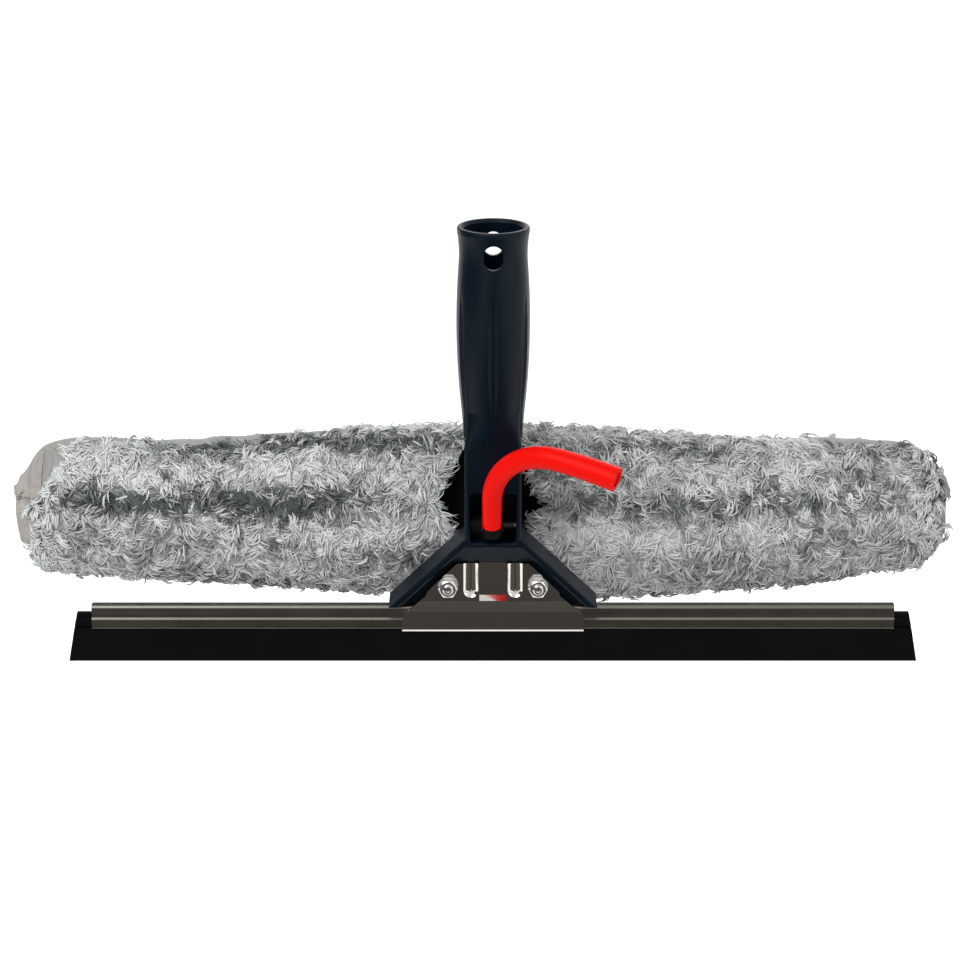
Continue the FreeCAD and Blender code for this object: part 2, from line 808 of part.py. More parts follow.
def make_bolt(side, x):
    shank = solid("Cylinder", f"bolt_shank_{side}", (x, BOLT_SEAT_Y, "-bolt_drop"), 90.0,
                  Radius="bolt_radius", Height=f"{BOLT_SEAT_Y} - {BOLT_TIP_Y} - bolt_point")
    point = solid("Cone", f"bolt_point_{side}", (x, f"{BOLT_TIP_Y} + bolt_point", "-bolt_drop"), 90.0,
                  Radius1="bolt_radius", Radius2="bolt_radius - bolt_point", Height="bolt_point")
    head = solid("Prism", f"bolt_head_{side}", (x, f"{BOLT_SEAT_Y} + bolt_head_height", "-bolt_drop"), 90.0,
                 Circumradius="bolt_head_radius", Height="bolt_head_height")
    dimple = solid("Cylinder", f"bolt_dimple_{side}", (x, f"{BOLT_TIP_Y} + bolt_dimple_depth", "-bolt_drop"),
                   90.0, Radius="bolt_dimple_radius", Height="2 * bolt_dimple_depth")
    return cut(f"bolt_{side}", fuse(f"bolt_blank_{side}", shank, point, head), dimple)


def make_washer(side, x):
    disc = solid("Cylinder", f"washer_disc_{side}", (x, WASHER_Y, "-bolt_drop"), 90.0,
                 Radius="washer_radius", Height="washer_gauge")
    return cut(f"washer_{side}", disc, bolt_bore(f"washer_bore_{side}", x))


def make_nut(side, x):
    hexagon = solid("Prism", f"nut_hexagon_{side}", (x, NUT_Y, "-bolt_drop"), 90.0,
                    Circumradius="nut_flats / sqrt(3)", Height="nut_height")
    cone = solid("Cone", f"nut_cone_{side}", (x, NUT_Y, "-bolt_drop"), 90.0, Height="nut_height",
                 Radius1="nut_face_radius + nut_height * sqrt(3)", Radius2="nut_face_radius")
    blank = common(f"nut_blank_{side}", hexagon, cone)
    return cut(f"nut_{side}", blank, bolt_bore(f"nut_bore_{side}", x))


def bolt_bore(name, x):
    return solid("Cylinder", name, (x, "0", "-bolt_drop"), 90.0,
                 Radius="bolt_radius + bolt_fit", Height="2 * neck_depth")


# Release lever


def rod_frame():
    """Start of the bent rod, its upward direction and its sideways direction."""
    lean = FreeCAD.Rotation(Vector(1, 0, 0), value("rod_lean"))
    yaw = FreeCAD.Rotation(UP, -value("rod_yaw"))
    upright = FreeCAD.Rotation(Vector(1, 0, 0), 90.0)
    start = Vector(value("rod_x"), value("rod_y"), -value("rod_drop"))
    return FreeCAD.Placement(start, lean * yaw * upright)


def rod_place(height):
    """A placement on the rod's straight foot, with its Z axis along the rod."""
    lean = FreeCAD.Rotation(Vector(1, 0, 0), value("rod_lean"))
    return FreeCAD.Placement(rod_frame().multVec(Vector(0, height, 0)), lean)


def tip_place(reach):
    """A placement on the rod's arm, with its Z axis along the rod."""
    frame = rod_frame()
    run = value(reach) - value("rod_bend")
    droop = math.asin(run / value("rod_sweep"))
    fall = value("rod_sweep") * (1 - math.cos(droop))
    along = frame.Rotation.multVec(Vector(math.cos(droop), -math.sin(droop), 0))
    spot = frame.multVec(Vector(value(reach), value("rod_rise") - fall, 0))
    return FreeCAD.Placement(spot, FreeCAD.Rotation(UP, along))


def rod_path(body, name, start, reach):
    """Straight foot, wide bend and gently drooping arm, in the rod's own plane."""
    item = sketch(body, name, "XY_Plane")
    item.AttachmentOffset = rod_frame()
    item.clearExpression("AttachmentOffset.Base.z")
    fall = f"rod_sweep + sqrt(rod_sweep^2 - ({reach} - rod_bend)^2)"
    outline(item, [
        ("0", start),
        ("0", "rod_rise - rod_bend"),
        ("rod_bend", "rod_rise", "-rod_bend"),
        (reach, f"rod_rise - {fall}", "-rod_sweep"),
    ], closed=False)
    return item


def placed_ring(body, name, place, radius):
    """A circle square to the rod."""
    item = sketch(body, name, "XY_Plane")
    item.clearExpression("AttachmentOffset.Base.z")
    item.AttachmentOffset = place
    ring(item, "0", "0", radius)
    return item


def rod_pipe(body, kind, name, start, reach, radius, tip_radius=None):
    """Sweep a circle along the rod's path."""
    profile = placed_ring(body, f"{name}_section", rod_place(value(start)), radius)
    path = rod_path(body, f"{name}_path", start, reach)
    doc.recompute()
    item = body.newObject("PartDesign::" + kind, name)
    item.Profile = profile
    item.Spine = (path, [])
    if tip_radius:
        item.Transformation = "Multisection"
        item.Sections = [placed_ring(body, f"{name}_tip_section", tip_place(reach), tip_radius)]
    return item


def make_hub():
    """Barrel on the cross pin, with the toe below and the rod's socket in front."""
    body = new_body("lever_hub")
    barrel = side_sketch(body, "barrel_outline", HUB_X)
    ring(barrel, "pin_y", "-pin_drop", "hub_radius")
    add(body, "Pad", "barrel", barrel, SideType="Symmetric", Length="hub_width")
    toe = side_sketch(body, "toe_outline", HUB_X)
    outline(toe, [
        (TOE_Y, "-toe_drop"),
        (f"{TOE_Y} + toe_gauge", "-toe_drop"),
        ("pin_y + toe_gauge / 2", "-pin_drop"),
        ("pin_y - toe_gauge / 2", "-pin_drop"),
    ])
    add(body, "Pad", "toe", toe, SideType="Symmetric", Length="toe_width")
    place = rod_place(value("boss_start"))
    primitive(body, "AdditiveCylinder", "rod_boss", place, Radius="boss_radius", Height="boss_height")
    floor = rod_place(value("boss_start + boss_floor"))
    primitive(body, "SubtractiveCylinder", "rod_hole", floor, Radius="rod_radius + rod_fit", Height="rod_rise")
    bore = side_sketch(body, "pin_bore_outline", HUB_X)
    ring(bore, "pin_y", "-pin_drop", "pin_radius + pin_run")
    add(body, "Pocket", "pin_bore", bore, SideType="Symmetric", Length="2 * neck_width")
    cross_hole(body, "roll_pin_hole", "roll_pin_radius + pin_fit")
    return body


def cross_hole(body, name, radius):
    """Hole for the roll pin that fixes the rod in the hub."""
    centre = rod_place(value(ROLL_PIN_HEIGHT)).Base
    item = sketch(body, f"{name}_outline", "YZ_Plane")
    ring(item, repr(centre.y), repr(centre.z), radius)
    add(body, "Pocket", name, item, SideType="Symmetric", Length="2 * neck_width")


def make_rod():
    body = new_body("lever_rod")
    rod_pipe(body, "AdditivePipe", "rod", "boss_start + boss_floor + rod_fit", "rod_reach", "rod_radius")
    cross_hole(body, "roll_pin_hole", "roll_pin_radius + pin_fit")
    return body


def make_lever_grip():
    """Soft red tube over the rod, wider at its closed tip."""
    body = new_body("lever_grip")
    start = "(boss_start + boss_height + grip_gap)"
    rod_pipe(body, "AdditivePipe", "tube", start, "grip_reach", "grip_radius", "grip_tip_radius")
    rod_pipe(body, "SubtractivePipe", "bore", start, "rod_reach + rod_fit", "rod_radius + rod_fit")
    tip = tip_place("grip_reach")
    dish = tip.multiply(FreeCAD.Placement(Vector(0, 0, -value("tip_dish_depth")), FreeCAD.Rotation()))
    primitive(body, "SubtractiveCylinder", "tip_dish", dish, Radius="tip_dish_radius",
              Height="2 * tip_dish_depth")
    return body


def make_lever_pin():
    item = solid("Cylinder", "lever_pin", ("-neck_width / 2", "pin_y", "-pin_drop"), 90.0, Vector(0, 1, 0),
                 Radius="pin_radius", Height="neck_width")
    item.Label = "lever_pin"
    return item


def make_roll_pin():
    spot = rod_place(value(ROLL_PIN_HEIGHT)).Base
    item = solid("Cylinder", "rod_roll_pin", ("rod_x - boss_radius", repr(spot.y), repr(spot.z)), 90.0,
                 Vector(0, 1, 0), Radius="roll_pin_radius", Height="2 * boss_radius")
    item.Label = "rod_roll_pin"
    return item


def biarc(start, start_way, end, end_way):
    """Two tangent arcs from one point to another, each given with its direction."""
    span = end - start
    ways = start_way + end_way
    scale = 2 * (1 - start_way.dot(end_way))
    mix = span.dot(ways)
    reach = (-mix + math.sqrt(mix ** 2 + scale * span.dot(span))) / scale
    joint = (start + start_way * reach + end - end_way * reach) * 0.5
    first = arc_middle(start, start_way, joint)
    second = arc_middle(end, end_way * -1, joint)
    return [Part.Arc(start, first, joint), Part.Arc(joint, second, end)]


def arc_middle(start, way, end):
    """Middle of the arc that leaves a point in a direction and arrives at another point."""
    chord = end - start
    across = chord - way * chord.dot(way)
    across.normalize()
    radius = chord.dot(chord) / (2 * chord.dot(across))
    centre = start + across * radius
    middle = (start + end) * 0.5 - centre
    middle.normalize()
    return centre + middle * radius


def make_spring():
    """Torsion spring round the pin, one tube with two straight legs."""
    wire = value("spring_wire")
    radius = value("spring_radius")
    pitch = value("spring_pitch")
    first_x = value(SPRING_X)
    centre = Vector(0, value("pin_y"), -value("pin_drop"))
    quarters = 4 * int(value("spring_turns")) + 1

    def spot(quarter):
        angle = quarter * math.pi / 2
        out = Vector(0, math.cos(angle), math.sin(angle)) * radius
        return centre + out + Vector(first_x + pitch * quarter / 4, 0, 0)

    def way(quarter):
        angle = quarter * math.pi / 2
        turn = Vector(0, -math.sin(angle), math.cos(angle)) * radius * math.pi / 2
        return (turn + Vector(pitch / 4, 0, 0)).normalize()

    curves = []
    for quarter in range(quarters):
        curves += biarc(spot(quarter), way(quarter), spot(quarter + 1), way(quarter + 1))
    leg = value("hub_radius")
    start = spot(0) - way(0) * leg
    end = spot(quarters) + way(quarters) * leg
    edges = [Part.LineSegment(start, spot(0)).toShape()]
    edges += [curve.toShape() for curve in curves]
    edges.append(Part.LineSegment(spot(quarters), end).toShape())
    path = Part.Wire(edges)
    ring_edge = Part.Circle(start, way(0), wire).toShape()
    shell = path.makePipeShell([Part.Wire([ring_edge])], True, False)
    report_gap("spring", path, wire, pitch)
    item = doc.addObject("Part::Feature", "lever_spring")
    item.Label = "lever_spring"
    item.Shape = shell
    return item


def report_gap(name, path, wire, pitch):
    """Print the least gap of a coiled tube to itself, measured on points along it."""
    count = int(path.Length / GAP_STEP)
    points = path.discretize(Number=count)
    step = path.Length / (count - 1)
    apart = int(3 * pitch / step)
    least = min((points[one] - points[two]).Length
                for one in range(count) for two in range(one + apart, count))
    print(f"{name}: least gap of the wire to itself {least - 2 * wire:.3f} mm")


# Squeegee


def make_channel():
    """Folded steel channel: a narrow tube over a wider chamber with inturned lips."""
    body = new_body("channel")
    section = side_sketch(body, "channel_section")
    tube_foot = f"({CHANNEL_DROP} + channel_tube_height)"
    chamber = f"({tube_foot} + channel_shoulder)"
    half = [
        ("channel_tube / 2 - channel_round", f"-{CHANNEL_DROP}"),
        ("channel_tube / 2", f"-{CHANNEL_DROP} - channel_round", "-channel_round"),
        ("channel_tube / 2", f"-{tube_foot}"),
        ("channel_width / 2", f"-{chamber}"),
        ("channel_width / 2", f"-{CHANNEL_FOOT_DROP} + channel_edge"),
        ("channel_width / 2 - channel_edge", f"-{CHANNEL_FOOT_DROP}", "-channel_edge"),
        ("channel_mouth / 2", f"-{CHANNEL_FOOT_DROP}"),
        ("channel_mouth / 2", f"-{CHANNEL_FOOT_DROP} + channel_wall"),
        ("channel_width / 2 - channel_wall", f"-{CHANNEL_FOOT_DROP} + channel_wall"),
        ("channel_width / 2 - channel_wall", f"-{chamber} - channel_wall / 2"),
        ("channel_tube / 2 - channel_wall", f"-{tube_foot} - channel_wall / 2"),
        ("channel_tube / 2 - channel_wall", f"-{CHANNEL_DROP} - channel_round"),
        ("channel_tube / 2 - channel_round", f"-{CHANNEL_DROP} - channel_wall",
         "channel_round - channel_wall"),
    ]
    right = [shifted(corner) for corner in half]
    left = [shifted(corner) for corner in mirrored(half)[len(half):]]
    outline(section, right + left)
    add(body, "Pad", "channel_sheet", section, SideType="Symmetric", Length="channel_length")
    return body


def shifted(corner):
    """Move an outline corner that was drawn about the blade's middle plane."""
    return (f"channel_y + {corner[0]}",) + tuple(corner[1:])


def make_rubber():
    """Blade with its rib and bulb inside the channel and its tapered edge below."""
    body = new_body("rubber_blade")
    section = side_sketch(body, "rubber_section")
    bulb_foot = f"({CHANNEL_FOOT_DROP} - channel_wall - rubber_fit)"
    bulb_top = f"({CHANNEL_DROP} + channel_tube_height + channel_shoulder + channel_wall / 2 + rubber_fit)"
    rib_top = f"({CHANNEL_DROP} + channel_tube_height - rubber_rib_height)"
    below = f"({CHANNEL_FOOT_DROP} + rubber_fit)"
    bulb = "(channel_width / 2 - channel_wall - rubber_fit)"
    half = [
        ("rubber_rib / 2", f"-{rib_top}"),
        ("rubber_rib / 2", f"-{bulb_top} + rubber_rib_height / 2"),
        (bulb, f"-{bulb_top}"),
        (bulb, f"-{bulb_foot}"),
        ("channel_mouth / 2 - rubber_fit", f"-{bulb_foot}"),
        ("channel_mouth / 2 - rubber_fit", f"-{below}"),
        ("rubber_shoulder / 2", f"-{below}"),
        ("rubber_shoulder / 2", f"-{below} - rubber_shoulder_height"),
        ("rubber_edge / 2", f"-{CHANNEL_FOOT_DROP} - rubber_reach"),
    ]
    outline(section, [shifted(corner) for corner in mirrored(half)])
    add(body, "Pad", "blade", section, SideType="Symmetric", Length="rubber_edge_length + rubber_top_length")
    trim = front_sketch(body, "blade_outline", AHEAD_Y)
    foot = f"({CHANNEL_FOOT_DROP} + rubber_reach)"
    beyond = "(rubber_edge_length + rubber_top_length)"
    outline(trim, block(f"-{beyond}", beyond, f"-2 * {foot}", "0"))
    outline(trim, mirrored([
        ("rubber_top_length / 2", f"-{rib_top} + rubber_fit"),
        ("rubber_top_length / 2", f"-{rib_top}"),
        ("rubber_edge_length / 2", f"-{foot}"),
        ("rubber_edge_length / 2", f"-{foot} - rubber_fit"),
    ]))
    add(body, "Pocket", "blade_ends", trim, Length=THROUGH)
    return body


def make_end_clip(side):
    """Folded spring strip that grips the rubber in the tube of the channel."""
    sign = -1 if side == "left" else 1
    body = new_body(f"end_clip_{side}")
    section = side_sketch(
        body, "clip_section", f"{sign} * (channel_length / 2 - clip_inset - clip_length / 2)")
    top = f"({CHANNEL_DROP} + channel_wall + rubber_fit)"
    foot = f"({CHANNEL_DROP} + channel_tube_height - rubber_rib_height - rubber_fit)"
    wide = "(channel_tube / 2 - channel_round)"
    thin = f"({wide} - clip_gauge)"
    outline(section, [shifted(corner) for corner in mirrored([
        (wide, f"-{top}"),
        (wide, f"-{foot}"),
        (thin, f"-{foot}"),
        (thin, f"-{top} - clip_gauge"),
    ])])
    add(body, "Pad", "clip", section, SideType="Symmetric", Length="clip_length")
    return body


# Bar and sleeve


def make_bar():
    """Slotted washer bar with a ribbed stem that is screwed to the neck."""
    body = new_body("t_bar")
    section = side_sketch(body, "bar_section")
    outline(section, soft_block(
        "bar_y - bar_depth / 2", "bar_y + bar_depth / 2", "-bar_drop - bar_height / 2",
        "-bar_drop + bar_height / 2", "bar_corner"))
    add(body, "Pad", "bar", section, SideType="Symmetric", Length="bar_length")
    stem = front_sketch(body, "stem_outline", f"{BAR_FRONT_Y} + stem_wall")
    outline(stem, block(
        "-stem_width / 2", "stem_width / 2", "-stem_drop - stem_height / 2", "-stem_drop + stem_height / 2"))
    add(body, "Pad", "stem", stem, Length=f"{BAR_FRONT_Y} + stem_wall - {BACK_Y}")
    flange = front_sketch(body, "flange_outline", FLANGE_Y)
    outline(flange, soft_block(
        "-flange_width / 2", "flange_width / 2", "-stem_drop - flange_height / 2",
        "-stem_drop + flange_height / 2", "flange_corner"))
    add(body, "Pad", "flange", flange, Length="flange_gauge")
    for side, sign in (("left", -1), ("right", 1)):
        hollow = side_sketch(body, f"stem_hollow_{side}", f"{sign} * stem_width / 2")
        outline(hollow, block(
            f"{FLANGE_Y} + stem_wall", f"{BAR_FRONT_Y} - stem_wall",
            "-stem_drop - stem_height / 2 + stem_wall", "-stem_drop + stem_height / 2 - stem_wall"))
        add(body, "Pocket", f"stem_pocket_{side}", hollow, Length="(stem_width - stem_web) / 2",
            Reversed=sign < 0)
    holes = front_sketch(body, "flange_holes", "0")
    for drop in SCREW_DROPS:
        ring(holes, "0", f"-{drop}", "screw_radius + screw_hole_room")
    add(body, "Pocket", "flange_screw_holes", holes, Length=f"{FLANGE_Y} + flange_gauge")
    for side, sign in (("left", -1), ("right", 1)):
        make_bar_slots(body, side, sign)
    return body


def make_bar_slots(body, side, sign):
    """A row of tall slots on one side of the stem."""
    item = front_sketch(body, f"bar_slot_{side}", "0")
    x = f"{sign} * bar_slot_first"
    outline(item, stadium(x, "-bar_drop", "bar_slot_width", "bar_slot_height"))
    slot = add(body, "Pocket", f"slot_{side}", item, Length="2 * bar_y")
    row = body.newObject("PartDesign::LinearPattern", f"slots_{side}")
    row.Originals = [slot]
    axis = next(part for part in body.Origin.OriginFeatures if part.Role == "X_Axis")
    row.Direction = (axis, [""])
    row.Reversed = sign < 0
    tie(row, "Length", "bar_slot_run")
    tie(row, "Occurrences", "bar_slot_count")
    finish(body, row)


def make_bar_screw(name, drop):
    shank = solid("Cylinder", f"{name}_shank", ("0", FLANGE_Y, f"-{drop}"), 90.0,
                  Radius="screw_radius", Height="flange_gauge + screw_reach")
    head = solid("Cylinder", f"{name}_head", ("0", f"{FLANGE_Y} + screw_head_height", f"-{drop}"), 90.0,
                 Radius="screw_head_radius", Height="screw_head_height")
    return fuse(name, shank, head)


def oval(height, depth):
    """Four arc oval about the sleeve's axis, with the given half sizes."""
    small = f"(sleeve_round * {depth})"
    large = f"(({depth}^2 + ({height} - {small})^2 - {small}^2) / (2 * ({depth} - {small})))"
    across = f"({small} * ({large} - {depth}) / ({large} - {small}))"
    along = f"(({height} - {small}) * {large} / ({large} - {small}))"
    return [
        (f"bar_y + {across}", f"-bar_drop + {along}", large),
        (f"bar_y - {across}", f"-bar_drop + {along}", small),
        (f"bar_y - {across}", f"-bar_drop - {along}", large),
        (f"bar_y + {across}", f"-bar_drop - {along}", small),
    ]


SLEEVE_STATIONS = ("cap", "end", "mid", "full")


def make_sleeve():
    """Fibre sleeve: full beside the neck, drawn in at its ends, slit for the stem."""
    body = new_body("washer_sleeve")
    sections = []
    for sign in (-1, 1):
        names = SLEEVE_STATIONS if sign < 0 else SLEEVE_STATIONS[::-1]
        for station in names:
            place = f"sleeve_shift + {sign} * sleeve_{station}"
            item = side_sketch(body, f"{station}_section_{'left' if sign < 0 else 'right'}", place)
            outline(item, oval(f"sleeve_{station}_height", f"sleeve_{station}_depth"))
            sections.append(item)
    add(body, "AdditiveLoft", "sleeve", sections[0], Sections=sections[1:])
    cavity = side_sketch(body, "cavity_section")
    outline(cavity, soft_block(
        "bar_y - bar_depth / 2 - sleeve_fit", "bar_y + bar_depth / 2 + sleeve_fit",
        "-bar_drop - bar_height / 2 - sleeve_fit", "-bar_drop + bar_height / 2 + sleeve_fit", "bar_corner"))
    add(body, "Pocket", "bar_cavity", cavity, SideType="Symmetric", Length="bar_length + 2 * sleeve_fit")
    slit = front_sketch(body, "slit_outline", "0")
    reach = "(screw_spacing / 2 + screw_head_radius + sleeve_slit_room)"
    high = f"max(-sleeve_slit_drop + sleeve_slit_height / 2; -stem_drop + {reach})"
    low = f"min(-sleeve_slit_drop - sleeve_slit_height / 2; -stem_drop - {reach})"
    outline(slit, mirrored([
        ("sleeve_slit_end_width / 2", high),
        ("sleeve_slit_width / 2", "-sleeve_slit_drop"),
        ("sleeve_slit_end_width / 2", low),
    ]))
    add(body, "Pocket", "stem_slit", slit, Length=f"{BAR_FRONT_Y} + bar_corner")
    seat = front_sketch(body, "closure_seat_outline", "closure_y")
    wide = "(closure_width / 2 + closure_room)"
    tall = "(closure_height / 2 + closure_room)"
    outline(seat, block(f"-{wide}", wide, f"-closure_drop - {tall}", f"-closure_drop + {tall}"))
    add(body, "Pocket", "closure_seat", seat, Length="sleeve_full_depth")
    return body


def make_end_panel(side):
    """Plain cloth cap that closes one end of the sleeve, with a crowned tip."""
    body = new_body(f"sleeve_end_{side}")
    sign = -1 if side == "left" else 1
    sections = []
    for station in ("cap", "shoulder", "tip"):
        item = side_sketch(body, f"{station}_section", f"sleeve_shift + {sign} * sleeve_{station}")
        outline(item, oval(f"sleeve_{station}_height", f"sleeve_{station}_depth"))
        sections.append(item)
    add(body, "AdditiveLoft", "cap", sections[0], Sections=sections[1:])
    crown = side_sketch(body, "crown_outline", f"sleeve_shift + {sign} * sleeve_tip")
    outline(crown, oval("(sleeve_tip_height - end_panel_inset)", "(sleeve_tip_depth - end_panel_inset)"))
    add(body, "Pad", "crown", crown, Length="end_panel_gauge", Reversed=sign < 0)
    return body


def make_closure(label, layer):
    """One half of the touch closure at the sleeve's back; the layers count from the sleeve."""
    body = new_body(label)
    item = front_sketch(body, "strip_outline", f"closure_y + {layer + 1} * closure_gauge")
    outline(item, soft_block(
        "-closure_width / 2", "closure_width / 2", "-closure_drop - closure_height / 2",
        "-closure_drop + closure_height / 2", "closure_corner"))
    add(body, "Pad", "strip", item, Length="closure_gauge")
    return body


def make_all():
    """Build every sub-part and return them by node name."""
    parts = [
        make_handle(),
        make_clamp_plate(),
        group("clamp_bolts", sided(make_bolt)),
        group("clamp_washers", sided(make_washer)),
        group("clamp_nuts", sided(make_nut)),
        make_hub(),
        make_rod(),
        make_lever_grip(),
        make_lever_pin(),
        make_roll_pin(),
        make_spring(),
        make_channel(),
        make_rubber(),
        make_end_clip("left"),
        make_end_clip("right"),
        make_bar(),
        group("t_bar_screws", [make_bar_screw(f"bar_screw_{index}", drop)
                               for index, drop in enumerate(SCREW_DROPS, start=1)]),
        make_sleeve(),
        make_end_panel("left"),
        make_end_panel("right"),
        make_closure("closure_loop", 0),
        make_closure("closure_hook", 1),
    ]
    doc.recompute()
    return parts


def check(parts):
    """Stop before anything is written if an object failed or a shape is unsound."""
    for item in doc.Objects:
        if "Invalid" in item.State or "Error" in item.State:
            raise RuntimeError(f"{item.Label} is {item.State}")
    for part in parts:
        if part.Shape.isNull() or not part.Shape.isValid():
            raise RuntimeError(f"{part.Label} has no sound shape")


def write(parts):
    os.makedirs("parts", exist_ok=True)
    for part in parts:
        part.Shape.exportStep(f"parts/{part.Label}.step")
        print(f"{part.Label}: {len(part.Shape.Solids)} solid(s), {part.Shape.Volume:.0f} mm3")


pieces = make_all()
check(pieces)
write(pieces)
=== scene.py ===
"""Studio scene of a window washer and squeegee on one pole handle.

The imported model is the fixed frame. Operators give its pieces their finishes, make the cloth,
the fibre pile and the touch closure of the sleeve, and set the stage.
"""
import math

import bmesh
import bpy
import numpy as np
from bpy.props import FloatProperty, FloatVectorProperty, IntProperty, PointerProperty
from mathutils import Matrix, Vector, noise


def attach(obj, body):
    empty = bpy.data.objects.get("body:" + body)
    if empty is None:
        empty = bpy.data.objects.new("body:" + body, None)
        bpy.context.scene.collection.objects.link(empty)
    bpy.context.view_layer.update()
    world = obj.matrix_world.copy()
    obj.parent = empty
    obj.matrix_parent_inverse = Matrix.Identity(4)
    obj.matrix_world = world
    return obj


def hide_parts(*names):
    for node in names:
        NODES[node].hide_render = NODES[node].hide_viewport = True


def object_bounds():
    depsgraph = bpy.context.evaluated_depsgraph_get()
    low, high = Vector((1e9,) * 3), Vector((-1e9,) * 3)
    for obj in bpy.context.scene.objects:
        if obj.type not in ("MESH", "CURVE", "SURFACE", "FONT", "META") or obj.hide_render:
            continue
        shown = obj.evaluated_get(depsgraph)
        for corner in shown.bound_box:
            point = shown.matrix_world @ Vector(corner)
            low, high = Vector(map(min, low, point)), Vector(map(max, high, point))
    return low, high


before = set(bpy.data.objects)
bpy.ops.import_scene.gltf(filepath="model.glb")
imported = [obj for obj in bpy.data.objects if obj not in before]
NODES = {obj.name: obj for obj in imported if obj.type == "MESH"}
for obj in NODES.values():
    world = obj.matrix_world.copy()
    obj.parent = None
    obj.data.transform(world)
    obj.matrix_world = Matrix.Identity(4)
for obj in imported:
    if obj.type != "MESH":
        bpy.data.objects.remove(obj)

bl_info = {
    "name": "Window washer and squeegee",
    "version": (1, 0, 0),
    "blender": (4, 5, 0),
    "location": "View3D > Sidebar > Washer",
    "description": "Finishes, fibre sleeve and studio stage for a window washer and squeegee",
    "category": "Object",
}

CAD_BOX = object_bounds()

# The sleeve's outside in metres: distance from its middle, half height and half depth.
SLEEVE_STATIONS = (
    (0.0000, 0.0440, 0.0305),
    (0.0320, 0.0440, 0.0305),
    (0.1100, 0.0385, 0.0295),
    (0.2060, 0.0330, 0.0255),
    (0.2160, 0.0290, 0.0222),
    (0.2210, 0.0255, 0.0195),
    (0.2270, 0.0150, 0.0110),
    (0.2284, 0.0135, 0.0095),
)
SLEEVE_X = -0.005
SLEEVE_Y = 0.045
SLEEVE_Z = -0.153
SLEEVE_TIP = 0.2284
SLEEVE_CAP = 0.2160
PILE_ENDS = (0.2210, 0.2255)
SLIT_Z = -0.139
SLIT_HALF_WIDTH = 0.027
SLIT_HALF_END = 0.012
SLIT_HALF_HEIGHT = 0.027
SLIT_BACK = 0.0375
CLOSURE_HALF = (0.012, 0.008)
CLOSURE_Y = 0.069
CLOSURE_GAUGE = 0.0012
SEAT_HALF = (0.0128, 0.0088)
HEM_ANGLE = math.radians(100.0)
HEM_HALF = (math.radians(22.0), math.radians(15.0))
SEAM_Z = -0.1405
SEAM_HEIGHT = 0.0024
SEAM_WIDTH = 0.0012
CREASE_DROP = 0.0028
CREASE_DEPTH = 0.0020
CREASE_WIDTH = 0.0014
# Rings, sides and wrinkles of the cloth and of its caps.
CLOTH_RINGS = 220
CLOTH_SIDES = 128
CLOTH_WRINKLE = 0.0008
CAP_RINGS = 20
CAP_SIDES = 160
CAP_WRINKLE = 0.0012
CAP_LAP = 0.0015
CAP_INSETS = (("left", -1.0, 0.0006), ("right", 1.0, 0.0020))
CLOSURE_CORNER = 0.002
CLOSURE_EDGE = 0.0003
# The handle's back, which the fibres stay behind: the neck, and the yoke that widens below it.
NECK_HALF_WIDTH = 0.0150
NECK_FOOT_Z = -0.162
NECK_BACK = 0.0142
YOKE_HALF_WIDTH = 0.0145
YOKE_SLOPE = 1.06
YOKE_SLOPE_Z = -0.147
YOKE_SLOPE_DROP = 0.04
YOKE_TOP_Z = -0.146
YOKE_FOOT_Z = -0.195
YOKE_BACK = 0.0088
# Share of the pile's depth under which the cloth counts as bare.
BARE_SHARE = 0.32
STRIPE_WIDTH = math.radians(13.0)
# Ratio whose powers spread points evenly over a square.
SPREAD_RATIO = 1.32471795724474602596
SECTION_SIDES = 3
WELD_DISTANCE = 1e-6
# Lamps of the stage: name, place and size in metres.
LAMPS = (
    ("key", (-0.75, -1.05, 0.95), 1.3),
    ("fill", (1.3, -0.9, 0.45), 1.2),
    ("back", (0.3, 1.4, 0.9), 1.2),
)
FLOOR_HALF = 6.0
FLOOR_GLOW = 0.80
STAGE_ROUGHNESS = 0.9
SENSOR_WIDTH = 36.0
RIGHT_SAG = 0.0035
LEFT_RISE = 0.0044
RIGHT_LIFT = 0.0026
# The dark notch that the fibres leave open beside the neck: height, and half width on the left
# and on the right.
NOTCH = (
    (-0.1573, 0.0146, 0.0120),
    (-0.1446, 0.0184, 0.0136),
    (-0.1416, 0.0229, 0.0185),
    (-0.1378, 0.0262, 0.0209),
    (-0.1309, 0.0199, 0.0124),
    (-0.1167, 0.0162, 0.0120),
)
COLUMN_REACH = 0.105
LOCK_POINTS = 5
LOCK_TAPER = (0.8, 1.1, 1.1, 0.95, 0.5)


def colour_property(name, description, default):
    return FloatVectorProperty(
        name=name, description=description, default=default, min=0.0, max=1.0, subtype="COLOR", size=3)


def length_property(name, description, default, low=0.0):
    return FloatProperty(name=name, description=description, default=default, min=low, unit="LENGTH")


def power_property(name, default):
    description = f"Power of the {name.lower()} lamp in watts"
    return FloatProperty(name=name, description=description, default=default, min=0.0)


